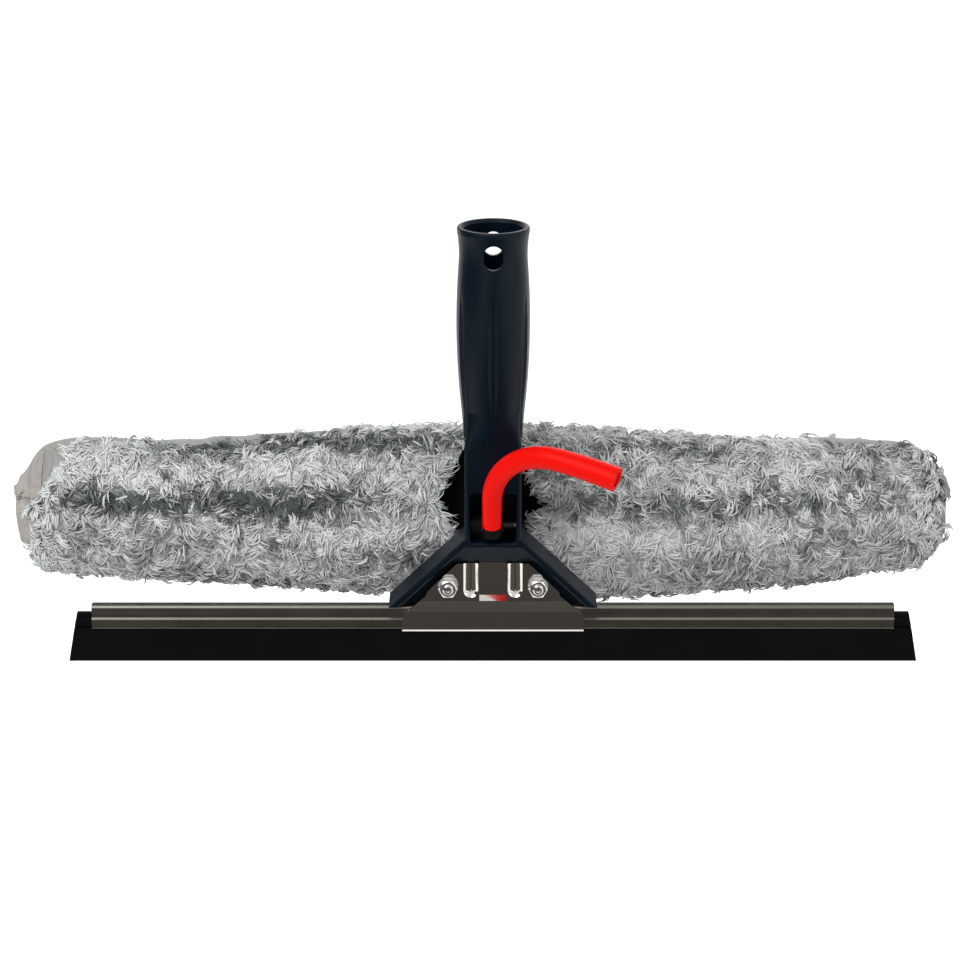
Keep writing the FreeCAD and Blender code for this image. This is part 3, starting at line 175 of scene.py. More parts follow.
class FinishSettings(bpy.types.PropertyGroup):
    """Colours and roughness of the moulded, metal and rubber pieces."""

    handle_colour: colour_property("Handle", "Blue black of the moulded handle", (0.0012, 0.0056, 0.0122))
    # The hub's black is a little darker than the bar's, as painted shade inside the handle's pocket.
    hub_colour: colour_property("Hub", "Black of the lever's hub", (0.005, 0.0052, 0.006))
    bar_colour: colour_property("Bar", "Black of the washer bar", (0.007, 0.007, 0.008))
    grip_colour: colour_property("Lever grip", "Red of the vinyl tube", (0.88, 0.0055, 0.0025))
    rubber_colour: colour_property("Rubber", "Black of the blade", (0.0030, 0.0030, 0.0036))
    plate_colour: colour_property("Plate", "Polished stainless sheet", (0.60, 0.575, 0.54))
    channel_colour: colour_property("Channel", "Drawn stainless channel", (0.172, 0.162, 0.141))
    zinc_colour: colour_property("Fasteners", "Zinc plated steel", (0.68, 0.68, 0.67))
    # The cross pin's zinc is darkened to a painted shade, for the shade inside the handle's pocket.
    shaded_pin_colour: colour_property("Cross pin", "Dull zinc of the lever's pin", (0.13, 0.13, 0.13))
    wire_colour: colour_property("Clips", "Bright spring strip", (0.24, 0.24, 0.235))
    spring_colour: colour_property("Spring", "Dark oiled spring wire", (0.045, 0.045, 0.048))
    handle_roughness: FloatProperty(
        name="Handle roughness", description="Satin of the moulded handle", default=0.34, min=0.0, max=1.0,
        subtype="FACTOR")


class SleeveSettings(bpy.types.PropertyGroup):
    """Cloth and pile of the washer sleeve."""

    pile_depth: length_property(
        "Pile depth", "Height of the loose pile over its dense ground", 0.0020, 0.001)
    lock_length: length_property("Lock length", "Length of a full lock of fibres", 0.0124, 0.002)
    lock_radius: length_property("Lock radius", "Radius of a lock of fibres", 0.00041, 0.0001)
    lock_root: length_property("Lock root", "Depth of a lock's root in the dense ground", 0.0026)
    tuft_radius: length_property("Tuft radius", "Radius of one tuft at its root", 0.0016, 0.0005)
    tuft_count: IntProperty(
        name="Tufts", description="Tufts tried over the whole sleeve", default=12500, min=100)
    locks_per_tuft: IntProperty(name="Locks per tuft", description="Locks in one tuft", default=9, min=1)
    seed: IntProperty(name="Seed", description="Start of the random draws", default=7, min=0)
    tip_colour: colour_property("Tips", "Pale fibres of the ridges", (0.82, 0.845, 0.84))
    # The stripes' grey green is also the dark end that gives the locks' roots their painted shade.
    stripe_and_root_shade_colour: colour_property("Stripes", "Grey green fibres of the stripes", (0.075, 0.092, 0.089))
    cloth_colour: colour_property("End cloth", "Plain cloth of the sleeve's ends", (0.41, 0.385, 0.355))
    hem_colour: colour_property("Hem", "Plain cloth of the bare hem", (0.36, 0.355, 0.335))
    # The closure's black also colours the cut walls of the slit and the seat, as painted shade inside the
    # sleeve.
    tape_and_slit_shade_colour: colour_property("Closure", "Black touch closure tape", (0.010, 0.010, 0.011))


class StudioSettings(bpy.types.PropertyGroup):
    """Camera, lamps, floor and cards."""

    target: FloatVectorProperty(
        name="Target", description="Point the camera looks at", default=(-0.0062, 0.0, -0.1225),
        subtype="TRANSLATION", unit="LENGTH", size=3)
    distance: length_property("Distance", "From the camera to its target", 1.4, 0.1)
    elevation: FloatProperty(
        name="Elevation", description="Height of the camera's view", default=math.radians(18.0),
        subtype="ANGLE", unit="ROTATION")
    lens: FloatProperty(name="Lens", description="Focal length in millimetres", default=110.06, min=10.0)
    floor_gap: length_property("Floor gap", "Clear height under the blade", 0.35)
    floor_colour: colour_property("Floor", "Pale studio floor", (0.9, 0.9, 0.9))
    card_colour: colour_property("Cards", "Dark cards that the gloss mirrors", (0.085, 0.075, 0.062))
    patch_colour: colour_property("Patch", "Darker card that the plate mirrors", (0.030, 0.023, 0.020))
    ambient: FloatProperty(name="Ambient", description="Strength of the room's light", default=0.42, min=0.0)
    key_power: power_property("Key", 19.0)
    back_power: power_property("Back", 6.0)
    fill_power: power_property("Fill", 3.5)


# Object helpers


def add_object(name, data):
    item = bpy.data.objects.new(name, data)
    bpy.context.scene.collection.objects.link(item)
    return item


def mesh_of(shape, name):
    """Turn a bmesh into a mesh and free it."""
    mesh = bpy.data.meshes.new(name)
    shape.to_mesh(mesh)
    shape.free()
    return mesh


def new_material(name):
    """A node material and its Principled shader."""
    material = bpy.data.materials.new(name)
    material.use_nodes = True
    return material, material.node_tree.nodes["Principled BSDF"]


# Node helpers


def put(tree, kind, inputs=None, **settings):
    """Add a node, set its properties and fill its inputs with values or links."""
    item = tree.nodes.new(kind)
    for name, setting in settings.items():
        setattr(item, name, setting)
    for name, source in (inputs or {}).items():
        if isinstance(source, bpy.types.NodeSocket):
            tree.links.new(source, item.inputs[name])
        else:
            item.inputs[name].default_value = source
    return item


def opaque(colour):
    return (colour[0], colour[1], colour[2], 1.0)


def calc(tree, operation, *values):
    return put(tree, "ShaderNodeMath", dict(enumerate(values)), operation=operation).outputs[0]


def swing(tree, source, reach):
    """A noise value, turned to swing about zero."""
    return calc(tree, "MULTIPLY", calc(tree, "SUBTRACT", source, 0.5), reach)


def grey(tree, shade):
    return put(tree, "ShaderNodeCombineColor", {0: shade, 1: shade, 2: shade}).outputs[0]


def mixed(tree, factor, first, second, blend="MIX"):
    item = put(tree, "ShaderNodeMix", data_type="RGBA", blend_type=blend)
    for index, source in ((0, factor), (6, first), (7, second)):
        if isinstance(source, bpy.types.NodeSocket):
            tree.links.new(source, item.inputs[index])
        else:
            item.inputs[index].default_value = source
    return item.outputs[2]


def new_group(name, inputs, outputs):
    """A shader group with named sockets; returns its tree and its two ends."""
    tree = bpy.data.node_groups.new(name, "ShaderNodeTree")
    for label, kind, default in inputs:
        socket = tree.interface.new_socket(label, in_out="INPUT", socket_type=kind)
        socket.default_value = default
    for label, kind in outputs:
        tree.interface.new_socket(label, in_out="OUTPUT", socket_type=kind)
    return tree, tree.nodes.new("NodeGroupInput"), tree.nodes.new("NodeGroupOutput")


SURFACE_OUTPUTS = (
    ("Colour", "NodeSocketColor"),
    ("Roughness", "NodeSocketFloat"),
    ("Height", "NodeSocketFloat"),
)


def moulded_group():
    """Fine grain and slow mottling of a moulded surface."""
    if "Moulded surface" in bpy.data.node_groups:
        return bpy.data.node_groups["Moulded surface"]
    tree, ends, out = new_group("Moulded surface", (
        ("Colour", "NodeSocketColor", (0.1, 0.1, 0.1, 1.0)),
        ("Grain", "NodeSocketFloat", 1600.0),
        ("Mottle", "NodeSocketFloat", 0.3),
        ("Roughness", "NodeSocketFloat", 0.4),
    ), SURFACE_OUTPUTS)
    place = put(tree, "ShaderNodeTexCoord").outputs["Object"]
    grain = put(tree, "ShaderNodeTexNoise", {"Vector": place, "Scale": ends.outputs["Grain"], "Detail": 2.0})
    cloud = put(tree, "ShaderNodeTexNoise", {"Vector": place, "Scale": 38.0, "Detail": 4.0})
    tone = grey(tree, calc(tree, "MULTIPLY_ADD", cloud.outputs["Fac"], 1.2, 0.5))
    colour = mixed(tree, ends.outputs["Mottle"], ends.outputs["Colour"], tone, "MULTIPLY")
    tree.links.new(colour, out.inputs["Colour"])
    rough = calc(tree, "ADD", ends.outputs["Roughness"], swing(tree, cloud.outputs["Fac"], 0.25))
    speck = swing(tree, grain.outputs["Fac"], 0.10)
    tree.links.new(calc(tree, "ADD", rough, speck), out.inputs["Roughness"])
    tree.links.new(grain.outputs["Fac"], out.inputs["Height"])
    return tree


def drawn_group():
    """Long draw lines along the metal, with faint handling marks."""
    if "Drawn metal" in bpy.data.node_groups:
        return bpy.data.node_groups["Drawn metal"]
    tree, ends, out = new_group("Drawn metal", (
        ("Colour", "NodeSocketColor", (0.6, 0.6, 0.6, 1.0)),
        ("Lines", "NodeSocketFloat", 900.0),
        ("Streak", "NodeSocketFloat", 0.3),
        ("Roughness", "NodeSocketFloat", 0.2),
    ), SURFACE_OUTPUTS)
    place = put(tree, "ShaderNodeTexCoord").outputs["Object"]
    across = put(tree, "ShaderNodeCombineXYZ", {0: 3.0, 1: ends.outputs["Lines"], 2: ends.outputs["Lines"]})
    drawn = put(tree, "ShaderNodeVectorMath", {0: place, 1: across.outputs[0]}, operation="MULTIPLY")
    lines = put(tree, "ShaderNodeTexNoise", {"Vector": drawn.outputs[0], "Scale": 1.0, "Detail": 3.0})
    marks = put(tree, "ShaderNodeTexNoise", {
        "Vector": place, "Scale": 55.0, "Detail": 5.0, "Roughness": 0.62})
    tone = grey(tree, calc(tree, "ADD", calc(tree, "MULTIPLY", lines.outputs["Fac"], 0.9), 0.5))
    colour = mixed(tree, ends.outputs["Streak"], ends.outputs["Colour"], tone, "MULTIPLY")
    tree.links.new(colour, out.inputs["Colour"])
    smear = swing(tree, marks.outputs["Fac"], 0.16)
    scratch = swing(tree, lines.outputs["Fac"], 0.14)
    rough = calc(tree, "ADD", ends.outputs["Roughness"], calc(tree, "ADD", smear, scratch))
    tree.links.new(calc(tree, "MAXIMUM", rough, 0.03), out.inputs["Roughness"])
    tree.links.new(lines.outputs["Fac"], out.inputs["Height"])
    return tree


def woven_group():
    """Plain weave on a flat map in metres."""
    if "Plain weave" in bpy.data.node_groups:
        return bpy.data.node_groups["Plain weave"]
    tree, ends, out = new_group("Plain weave", (
        ("Map", "NodeSocketVector", (0.0, 0.0, 0.0)),
        ("Colour", "NodeSocketColor", (0.4, 0.4, 0.4, 1.0)),
        ("Threads", "NodeSocketFloat", 1100.0),
        ("Roughness", "NodeSocketFloat", 0.85),
    ), SURFACE_OUTPUTS)
    turn = calc(tree, "MULTIPLY", ends.outputs["Threads"], math.pi)
    scaled = put(tree, "ShaderNodeVectorMath", {0: ends.outputs["Map"], "Scale": turn}, operation="SCALE")
    parts = put(tree, "ShaderNodeSeparateXYZ", {0: scaled.outputs[0]})
    warp = calc(tree, "SINE", parts.outputs[0])
    weft = calc(tree, "SINE", parts.outputs[1])
    cross = calc(tree, "MULTIPLY", warp, weft)
    height = calc(tree, "MULTIPLY_ADD", cross, 0.5, 0.5)
    slub = put(tree, "ShaderNodeTexNoise", {"Vector": ends.outputs["Map"], "Scale": 180.0, "Detail": 4.0})
    pale = calc(tree, "ADD", slub.outputs["Fac"], 0.45)
    tone = grey(tree, calc(tree, "ADD", calc(tree, "MULTIPLY", cross, 0.16), pale))
    tree.links.new(mixed(tree, 0.75, ends.outputs["Colour"], tone, "MULTIPLY"), out.inputs["Colour"])
    rough = calc(tree, "ADD", ends.outputs["Roughness"], calc(tree, "MULTIPLY", cross, 0.06))
    tree.links.new(rough, out.inputs["Roughness"])
    tree.links.new(height, out.inputs["Height"])
    return tree


def surface_material(name, group, values, bump, **shader):
    """A Principled material fed by one of the surface groups; values fill the group's sockets."""
    material, glossy = new_material(name)
    tree = material.node_tree
    surface = put(tree, "ShaderNodeGroup", node_tree=group)
    for label, setting in values.items():
        if isinstance(setting, str):
            source = put(tree, "ShaderNodeUVMap", uv_map=setting).outputs[0]
            tree.links.new(source, surface.inputs[label])
        else:
            surface.inputs[label].default_value = setting
    tree.links.new(surface.outputs["Colour"], glossy.inputs["Base Color"])
    tree.links.new(surface.outputs["Roughness"], glossy.inputs["Roughness"])
    relief = put(tree, "ShaderNodeBump", {
        "Height": surface.outputs["Height"], "Distance": bump, "Strength": 0.6})
    tree.links.new(relief.outputs[0], glossy.inputs["Normal"])
    for label, setting in shader.items():
        glossy.inputs[label.replace("_", " ")].default_value = setting
    return material


def plastic(name, colour, roughness, specular=0.14):
    return surface_material(name, moulded_group(), {
        "Colour": opaque(colour), "Grain": 1500.0, "Mottle": 0.35, "Roughness": roughness,
    }, 0.00006, Specular_IOR_Level=specular)


def metal(name, colour, lines, streak, roughness):
    return surface_material(name, drawn_group(), {
        "Colour": opaque(colour), "Lines": lines, "Streak": streak, "Roughness": roughness,
    }, 0.00001, Metallic=1.0)


def give(material, *names):
    """Put a material on the named pieces of the frame."""
    for name in names:
        for slot in NODES[name].material_slots:
            slot.material = material


def new_piece(name, mesh, body, slot, *materials):
    """An object at the origin that rides on a body of the frame."""
    piece = add_object(name, mesh)
    for material in materials:
        mesh.materials.append(material)
    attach(piece, body)
    return piece


# Sleeve form


def eased(low, high, place):
    share = np.clip((place - low) / (high - low), 0.0, 1.0)
    return share * share * (3.0 - 2.0 * share)


def sleeve_half(x):
    """Outer half height and half depth of the sleeve at x."""
    reach = np.abs(np.asarray(x, float) - SLEEVE_X)
    stations = np.array(SLEEVE_STATIONS)
    spread = np.linspace(-0.006, 0.006, 7)
    heights = [np.interp(np.abs(reach + step), stations[:, 0], stations[:, 1]) for step in spread]
    depths = [np.interp(np.abs(reach + step), stations[:, 0], stations[:, 2]) for step in spread]
    return np.mean(heights, axis=0), np.mean(depths, axis=0)


def sleeve_section(x):
    """Middle height, half height and half depth: the sleeve sags on the right and its ends turn up."""
    height, depth = sleeve_half(x)
    sag = 0.5 * RIGHT_SAG * eased(0.02, 0.06, x) * eased(0.205, 0.150, x)
    left = SLEEVE_X - np.asarray(x, float)
    tip = 1.0 - 0.35 * eased(SLEEVE_CAP, SLEEVE_TIP, left)
    rise = 0.5 * LEFT_RISE * eased(0.145, 0.203, left) * tip
    lift = RIGHT_LIFT * eased(0.115, 0.185, np.asarray(x, float))
    return SLEEVE_Z - sag + rise + lift, height + sag + rise, depth


def pile_room(x, angle, depth):
    """Height of the loose pile over its ground; the bare hem on top has little."""
    reach = np.abs(x - SLEEVE_X)
    ends = 1.0 - 0.5 * eased(0.198, 0.214, reach)
    middle = HEM_ANGLE + 0.06 * np.sin(x * 61.0 + 1.0) + 0.04 * np.sin(x * 143.0)
    turn = np.abs(np.angle(np.exp(1j * (angle - middle))))
    along = np.where(x < SLEEVE_X, eased(0.035, 0.085, reach), eased(0.150, 0.162, reach))
    bare = eased(*HEM_HALF, turn) * along
    dips = 0.80 + 0.12 * np.sin(x * 88.0) * np.sin(x * 37.0 + 0.6)
    return depth * ends * (1.0 - dips * bare)


def pile_end(x, angle):
    """How far the pile reaches from the sleeve's middle; the upper left corner is bare cloth."""
    bare = 0.018 * eased(0.25, 1.0, np.sin(angle))
    return np.where(x < SLEEVE_X, PILE_ENDS[0] - bare, PILE_ENDS[1])


def sleeve_point(x, angle, inset):
    """A point of the sleeve, inset from its outside; angle 0 is the front and a quarter turn the top."""
    middle, height, depth = sleeve_section(x)
    return np.stack([
        np.asarray(x, float) + np.zeros_like(angle),
        SLEEVE_Y - (depth - inset) * np.cos(angle),
        middle + (height - inset) * np.sin(angle),
    ], axis=-1)


def sleeve_turn(points):
    """The angle of points round the sleeve."""
    middle, height, depth = sleeve_section(points[..., 0])
    return np.arctan2((points[..., 2] - middle) / height, (SLEEVE_Y - points[..., 1]) / depth)


def slit_rim(points):
    """How far points lie outside the rim of the stem's slit in the front; negative over the slit."""
    rise = np.abs(points[..., 2] - SLIT_Z)
    taper = (SLIT_HALF_WIDTH - SLIT_HALF_END) * rise / SLIT_HALF_HEIGHT
    beside = np.abs(points[..., 0]) - (SLIT_HALF_WIDTH - taper)
    apart = np.maximum(beside, rise - SLIT_HALF_HEIGHT)
    return np.where(points[..., 1] < SLEEVE_Y, apart, 1.0)


def over_notch(points, slack):
    """Which points lie in front of the dark notch beside the neck, widened by a slack."""
    table = np.array(NOTCH)
    left = np.interp(points[..., 2], table[:, 0], table[:, 1], left=0.0, right=0.0)
    right = np.interp(points[..., 2], table[:, 0], table[:, 2], left=0.0, right=0.0)
    half = np.where(points[..., 0] < 0.0, left, right)
    return (np.abs(points[..., 0]) < half + slack) & (points[..., 1] < SLEEVE_Y)


def over_seat(points):
    """Which points lie over the closure's seat in the back."""
    beside = np.abs(points[..., 0]) < SEAT_HALF[0]
    level = np.abs(points[..., 2] - SLEEVE_Z) < SEAT_HALF[1]
    return beside & level & (points[..., 1] > SLEEVE_Y)


def ring_mesh(name, stations, around, inset, wrinkle):
    """A closed form drawn ring by ring along the blade; inset gives its depth under the outside."""
    shape = bmesh.new()
    ring = bmesh.ops.create_circle(shape, cap_ends=False, segments=around, radius=1.0)["verts"]
    angles = np.linspace(0.0, 2.0 * math.pi, around, endpoint=False)
    edges = list(shape.edges)
    first = list(ring)
    for index, x in enumerate(stations):
        if index:
            grown = bmesh.ops.extrude_edge_only(shape, edges=edges)["geom"]
            ring = [item for item in grown if isinstance(item, bmesh.types.BMVert)]
            edges = [item for item in grown if isinstance(item, bmesh.types.BMEdge)]
        for vert, place in zip(ring, sleeve_point(np.full(around, x), angles, inset(x, angles))):
            vert.co = place
    for loop in (first, ring):
        face = bmesh.ops.contextual_create(shape, geom=loop)["faces"]
        bmesh.ops.inset_region(shape, faces=face, thickness=0.004, depth=0.0005)
    bmesh.ops.recalc_face_normals(shape, faces=shape.faces)
    for vert in shape.verts:
        fold = noise.noise(Vector((vert.co.x * 90.0, vert.co.y * 50.0, vert.co.z * 50.0)))
        vert.co += vert.normal * fold * wrinkle
    mesh = mesh_of(shape, name)
    mesh.polygons.foreach_set("use_smooth", np.ones(len(mesh.polygons), bool))
    return mesh


def flat_map(mesh):
    """A map in metres for the weave: along the blade and round the sleeve."""
    layer = mesh.uv_layers.new(name="cloth")
    for loop in mesh.loops:
        place = mesh.vertices[loop.vertex_index].co
        layer.data[loop.index].uv = (place.x, place.z - place.y)


def raise_seam(mesh):
    """Fold the sewn ridge that runs across a cap, with a crease under it."""
    for vert in mesh.vertices:
        across = (vert.co.z - SEAM_Z) / SEAM_WIDTH
        under = (vert.co.z - SEAM_Z + CREASE_DROP) / CREASE_WIDTH
        fold = SEAM_HEIGHT * math.exp(-across * across) - CREASE_DEPTH * math.exp(-under * under)
        vert.co += vert.normal * fold


def round_edges(shape, upright, radius, segments):
    """Round the edges of a tape that run through its thickness, or else those of its faces."""
    edges = []
    for edge in shape.edges:
        through = abs(edge.verts[0].co.y - edge.verts[1].co.y) > WELD_DISTANCE
        if through == upright:
            edges.append(edge)
    bmesh.ops.bevel(
        shape, geom=edges, offset=radius, offset_type="OFFSET", segments=segments, profile=0.5,
        affect="EDGES", material=-1)


def ground_tone(mesh):
    """Put the stripes of the pile on the vertices of its ground, toned below the locks as painted shade
    between the tufts.
    """
    spots = np.empty(len(mesh.vertices) * 3)
    mesh.vertices.foreach_get("co", spots)
    spots = spots.reshape(-1, 3)
    # Painted shade: the ground's tone starts at 0.68, below the locks' 0.92, for the shade between the
    # tufts.
    tone = 0.68 - 0.80 * stripe_share(spots[:, 0], sleeve_turn(spots))[0]
    mesh.attributes.new("tone", "FLOAT", "POINT").data.foreach_set("value", tone.astype(np.float32))


def cutter(name, corners, start, depth, material):
    """A block that cuts the sleeve: an outline of x and z, drawn from y = start through a depth."""
    shape = bmesh.new()
    face = shape.faces.new([shape.verts.new((x, start, z)) for x, z in corners])
    grown = bmesh.ops.extrude_face_region(shape, geom=[face])["geom"]
    moved = [item for item in grown if isinstance(item, bmesh.types.BMVert)]
    bmesh.ops.translate(shape, verts=moved, vec=(0.0, depth, 0.0))
    bmesh.ops.recalc_face_normals(shape, faces=shape.faces)
    mesh = mesh_of(shape, name)
    mesh.materials.append(material)
    return add_object(name, mesh)


def sleeve_cutters(material):
    """Cutters of the stem's slit in the front and of the closure's seat in the back."""
    low, high = SLIT_Z - SLIT_HALF_HEIGHT, SLIT_Z + SLIT_HALF_HEIGHT
    slit = [(SLIT_HALF_END, high), (SLIT_HALF_WIDTH, SLIT_Z), (SLIT_HALF_END, low)]
    slit += [(-SLIT_HALF_END, low), (-SLIT_HALF_WIDTH, SLIT_Z), (-SLIT_HALF_END, high)]
    wide = SEAT_HALF[0]
    foot, head = SLEEVE_Z - SEAT_HALF[1], SLEEVE_Z + SEAT_HALF[1]
    seat = [(wide, head), (wide, foot), (-wide, foot), (-wide, head)]
    return (
        cutter("slit_cutter", slit, 0.0, SLIT_BACK, material),
        cutter("seat_cutter", seat, CLOSURE_Y, SLIT_BACK, material),
    )


def settled(piece):
    """The mesh of an object with its modifiers applied; the object is removed."""
    graph = bpy.context.evaluated_depsgraph_get()
    mesh = bpy.data.meshes.new_from_object(piece.evaluated_get(graph))
    bpy.data.objects.remove(piece)
    return mesh


# Fibre pile


def wander(x, angle, scale, phase):
    """Smooth wandering value between about -1 and 1 over the sleeve."""
    a = np.sin(x * scale + 2.1 * np.sin(angle * 2.0 + phase) + phase * 3.7)
    b = np.sin(x * scale * 1.71 - 1.6 * np.cos(angle * 3.0 - phase) + phase * 1.3)
    c = np.sin(x * scale * 2.93 + 2.7 * np.sin(angle * 4.0 + 2.0 * phase))
    return (a + 0.7 * b + 0.45 * c) / 2.15


# Dark stripes between the ridges: middle in degrees and strength, on the left and on the right.
STRIPES = (
    (-150.0, 0.8, -150.0, 0.8),
    (-104.0, 0.6, -104.0, 0.6),
    (-62.0, 0.45, -70.0, 0.55),
    (-20.0, 0.50, -22.0, 0.35),
    (17.0, 1.05, 22.0, 0.54),
    (43.0, 0.15, 45.0, 0.42),
    (70.0, 0.80, 70.0, 0.70),
    (150.0, 0.8, 150.0, 0.8),
)


def stripe_share(x, angle):
    """How far each spot lies in a dark stripe, and the turn to the nearest stripe's middle."""
    share = np.zeros(np.shape(angle))
    nearest = np.full(np.shape(angle), 9.0)
    right = eased(-0.03, 0.03, x - SLEEVE_X)
    far_left = eased(0.09, 0.19, SLEEVE_X - x)
    inner = 1.0 - 0.85 * eased(0.203, 0.214, np.abs(x - SLEEVE_X))
    for index, (left_turn, left_share, right_turn, right_share) in enumerate(STRIPES):
        middle = np.radians(left_turn + (right_turn - left_turn) * right + 10.0 * far_left)
        middle = middle + 0.11 * wander(x, np.zeros_like(x) + index, 23.0, 0.8 * index)
        turn = np.angle(np.exp(1j * (angle - middle)))
        width = STRIPE_WIDTH * (1.0 + 0.35 * wander(x, np.zeros_like(x) + 2.0 * index, 37.0, 1.7))
        patch = np.clip(0.75 + 0.6 * wander(x, np.zeros_like(x) - index, 19.0, 0.3), 0.0, 1.0)
        strength = left_share + (right_share - left_share) * right
        share = np.maximum(share, strength * patch * np.exp(-(turn / width) ** 2) * inner)
        nearest = np.where(np.abs(turn) < np.abs(nearest), turn, nearest)
    return share, nearest


def tuft_places(settings):
    """Even spots over the sleeve as x and angle, thinned by the local girth."""
    index = np.arange(settings.tuft_count) + 0.5
    across = (index / SPREAD_RATIO) % 1.0
    turn = (index / SPREAD_RATIO ** 2) % 1.0
    x = SLEEVE_X + (2.0 * across - 1.0) * PILE_ENDS[1]
    angle = (2.0 * turn - 1.0) * math.pi
    height, depth = sleeve_half(x)
    stretch = np.hypot(height * np.cos(angle), depth * np.sin(angle))
    draw = np.random.default_rng(settings.seed).random(settings.tuft_count)
    keep = draw < stretch / stretch.max()
    keep &= pile_room(x, angle, settings.pile_depth) > BARE_SHARE * settings.pile_depth
    keep &= np.abs(x - SLEEVE_X) < pile_end(x, angle)
    keep &= (np.cos(angle) > -0.25) | (draw < 0.55 * stretch / stretch.max())
    spots = sleeve_point(x, angle, 0.0)
    keep &= (slit_rim(spots) > 0.0) & ~over_seat(spots)
    return x[keep], angle[keep]


def unit(vectors):
    return vectors / np.linalg.norm(vectors, axis=-1, keepdims=True)


def fibre_paths(settings):
    """Paths, tones and root places of every lock of fibres, LOCK_POINTS points each."""
    draw = np.random.default_rng(settings.seed + 1)
    x, angle = tuft_places(settings)
    count = len(x)
    capped = np.abs(x - SLEEVE_X) > SLEEVE_CAP - 0.003
    room = np.where(capped, 0.0, pile_room(x, angle, settings.pile_depth))
    step = 1e-4
    base = sleeve_point(x, angle, room)
    along = unit(sleeve_point(x + step, angle, room) - base)
    around = unit(sleeve_point(x, angle + step, room) - base)
    out = unit(np.cross(along, around))
    out *= np.sign(np.sum(out * (base - np.array([SLEEVE_X, SLEEVE_Y, SLEEVE_Z])), axis=1, keepdims=True))
    stripe, turn = stripe_share(x, angle)
    stripe = np.where(draw.random(count) < 0.16, 0.15 * stripe, stripe)
    fall = np.array([0.0, 0.0, -1.0])
    lean = along * (0.9 * wander(x, angle, 95.0, 0.4) + 0.6 * draw.normal(size=count))[:, None]
    lean += around * (0.6 * wander(x, angle, 130.0, 1.9) + 0.6 * draw.normal(size=count))[:, None]
    lean += around * (0.4 * np.sign(turn) * np.exp(-(turn / 0.30) ** 2))[:, None]
    lean += fall * 0.45
    lean -= along * (1.6 * np.sign(x) * eased(0.009, 0.002, slit_rim(base)))[:, None]
    lean = unit(lean - out * np.sum(lean * out, axis=1, keepdims=True))
    full = np.where(capped, 0.4, room / settings.pile_depth)
    length = settings.lock_length * (1.0 - 0.40 * stripe) * (0.55 + 0.45 * full)
    length *= 1.0 - 0.15 * eased(0.75, 1.0, -np.sin(angle))
    tone = 0.92 - 0.93 * stripe + 0.14 * wander(x, angle, 40.0, 2.6) + 0.14 * draw.normal(size=count)
    # Painted shade: the pile is toned darker towards its right half.
    tone -= 0.12 * eased(0.06, 0.12, x)
    # Painted shade: the pile is toned darker on its underside, where less light falls.
    tone -= 0.09 * eased(0.3, 0.8, -np.sin(angle))

    each = settings.locks_per_tuft
    pick = np.repeat(np.arange(count), each)
    total = count * each
    ring = settings.tuft_radius * np.sqrt(draw.random(total))
    about = draw.random(total) * 2.0 * math.pi
    side = along[pick] * (ring * np.cos(about))[:, None] + around[pick] * (ring * np.sin(about))[:, None]
    reach = length[pick] * (0.70 + 0.40 * draw.random(total))
    over = unit(lean[pick] + 0.22 * draw.normal(size=(total, 3)))
    over = unit(over - out[pick] * np.sum(over * out[pick], axis=1, keepdims=True))
    curl = 1.3 * draw.normal(size=count)[pick] + 0.6 * draw.normal(size=total)
    twist = unit(np.cross(out[pick], over)) * curl[:, None]
    first = np.radians(draw.uniform(-5.0, 25.0, count)[pick] + draw.uniform(0.0, 15.0, total))
    bend = draw.uniform(105.0, 190.0, count) * (1.0 - 0.4 * np.clip(stripe, 0.0, 1.0))
    sweep = np.radians(bend[pick] + draw.uniform(0.0, 35.0, total))
    paths = np.empty((total, LOCK_POINTS, 3))
    root = np.where(capped, 0.0004, settings.lock_root * full * (1.0 - 0.6 * stripe))
    paths[:, 0] = base[pick] - out[pick] * root[pick][:, None] + side
    for index in range(1, LOCK_POINTS):
        share = (index - 0.5) / (LOCK_POINTS - 1)
        bow = first + sweep * share
        way = out[pick] * np.cos(bow)[:, None] + over * np.sin(bow)[:, None] + twist * (share - 0.35)
        paths[:, index] = paths[:, index - 1] + unit(way) * (reach / (LOCK_POINTS - 1))[:, None]
    keep_clear(paths)
    tones = np.clip(tone[pick] + 0.08 * draw.normal(size=total), 0.0, 1.0)
    slack = 0.0016 * draw.normal(size=(total, 1))
    free = ~(over_notch(paths, slack) | over_seat(paths)).any(axis=1)
    return paths[free], tones[free], x[pick][free], angle[pick][free]


def keep_clear(paths):
    """Hold the fibres behind the neck and the yoke of the handle."""
    beside = np.abs(paths[:, :, 0])
    level = paths[:, :, 2]
    behind_neck = (beside < NECK_HALF_WIDTH) & (level > NECK_FOOT_Z)
    yoke_half = YOKE_HALF_WIDTH + YOKE_SLOPE * np.clip(YOKE_SLOPE_Z - level, 0.0, YOKE_SLOPE_DROP)
    behind_yoke = (beside < yoke_half) & (level < YOKE_TOP_Z) & (level > YOKE_FOOT_Z)
    limit = np.where(behind_neck, NECK_BACK, np.where(behind_yoke, YOKE_BACK, -1.0))
    paths[:, :, 1] = np.maximum(paths[:, :, 1], limit)


def fibre_section():
    """Three sided section that the locks are drawn with."""
    data = bpy.data.curves.new("fibre_section", "CURVE")
    spline = data.splines.new("POLY")
    spline.points.add(SECTION_SIDES - 1)
    for index, point in enumerate(spline.points):
        turn = 2.0 * math.pi * index / SECTION_SIDES
        point.co = (math.cos(turn), math.sin(turn), 0.0, 1.0)
    spline.use_cyclic_u = True
    return add_object("fibre_section", data)


def weld(mesh):
    """Join vertices that lie on each other and turn the faces outwards."""
    shape = bmesh.new()
    shape.from_mesh(mesh)
    bmesh.ops.remove_doubles(shape, verts=shape.verts, dist=WELD_DISTANCE)
    bmesh.ops.recalc_face_normals(shape, faces=shape.faces)
    shape.to_mesh(mesh)
    shape.free()


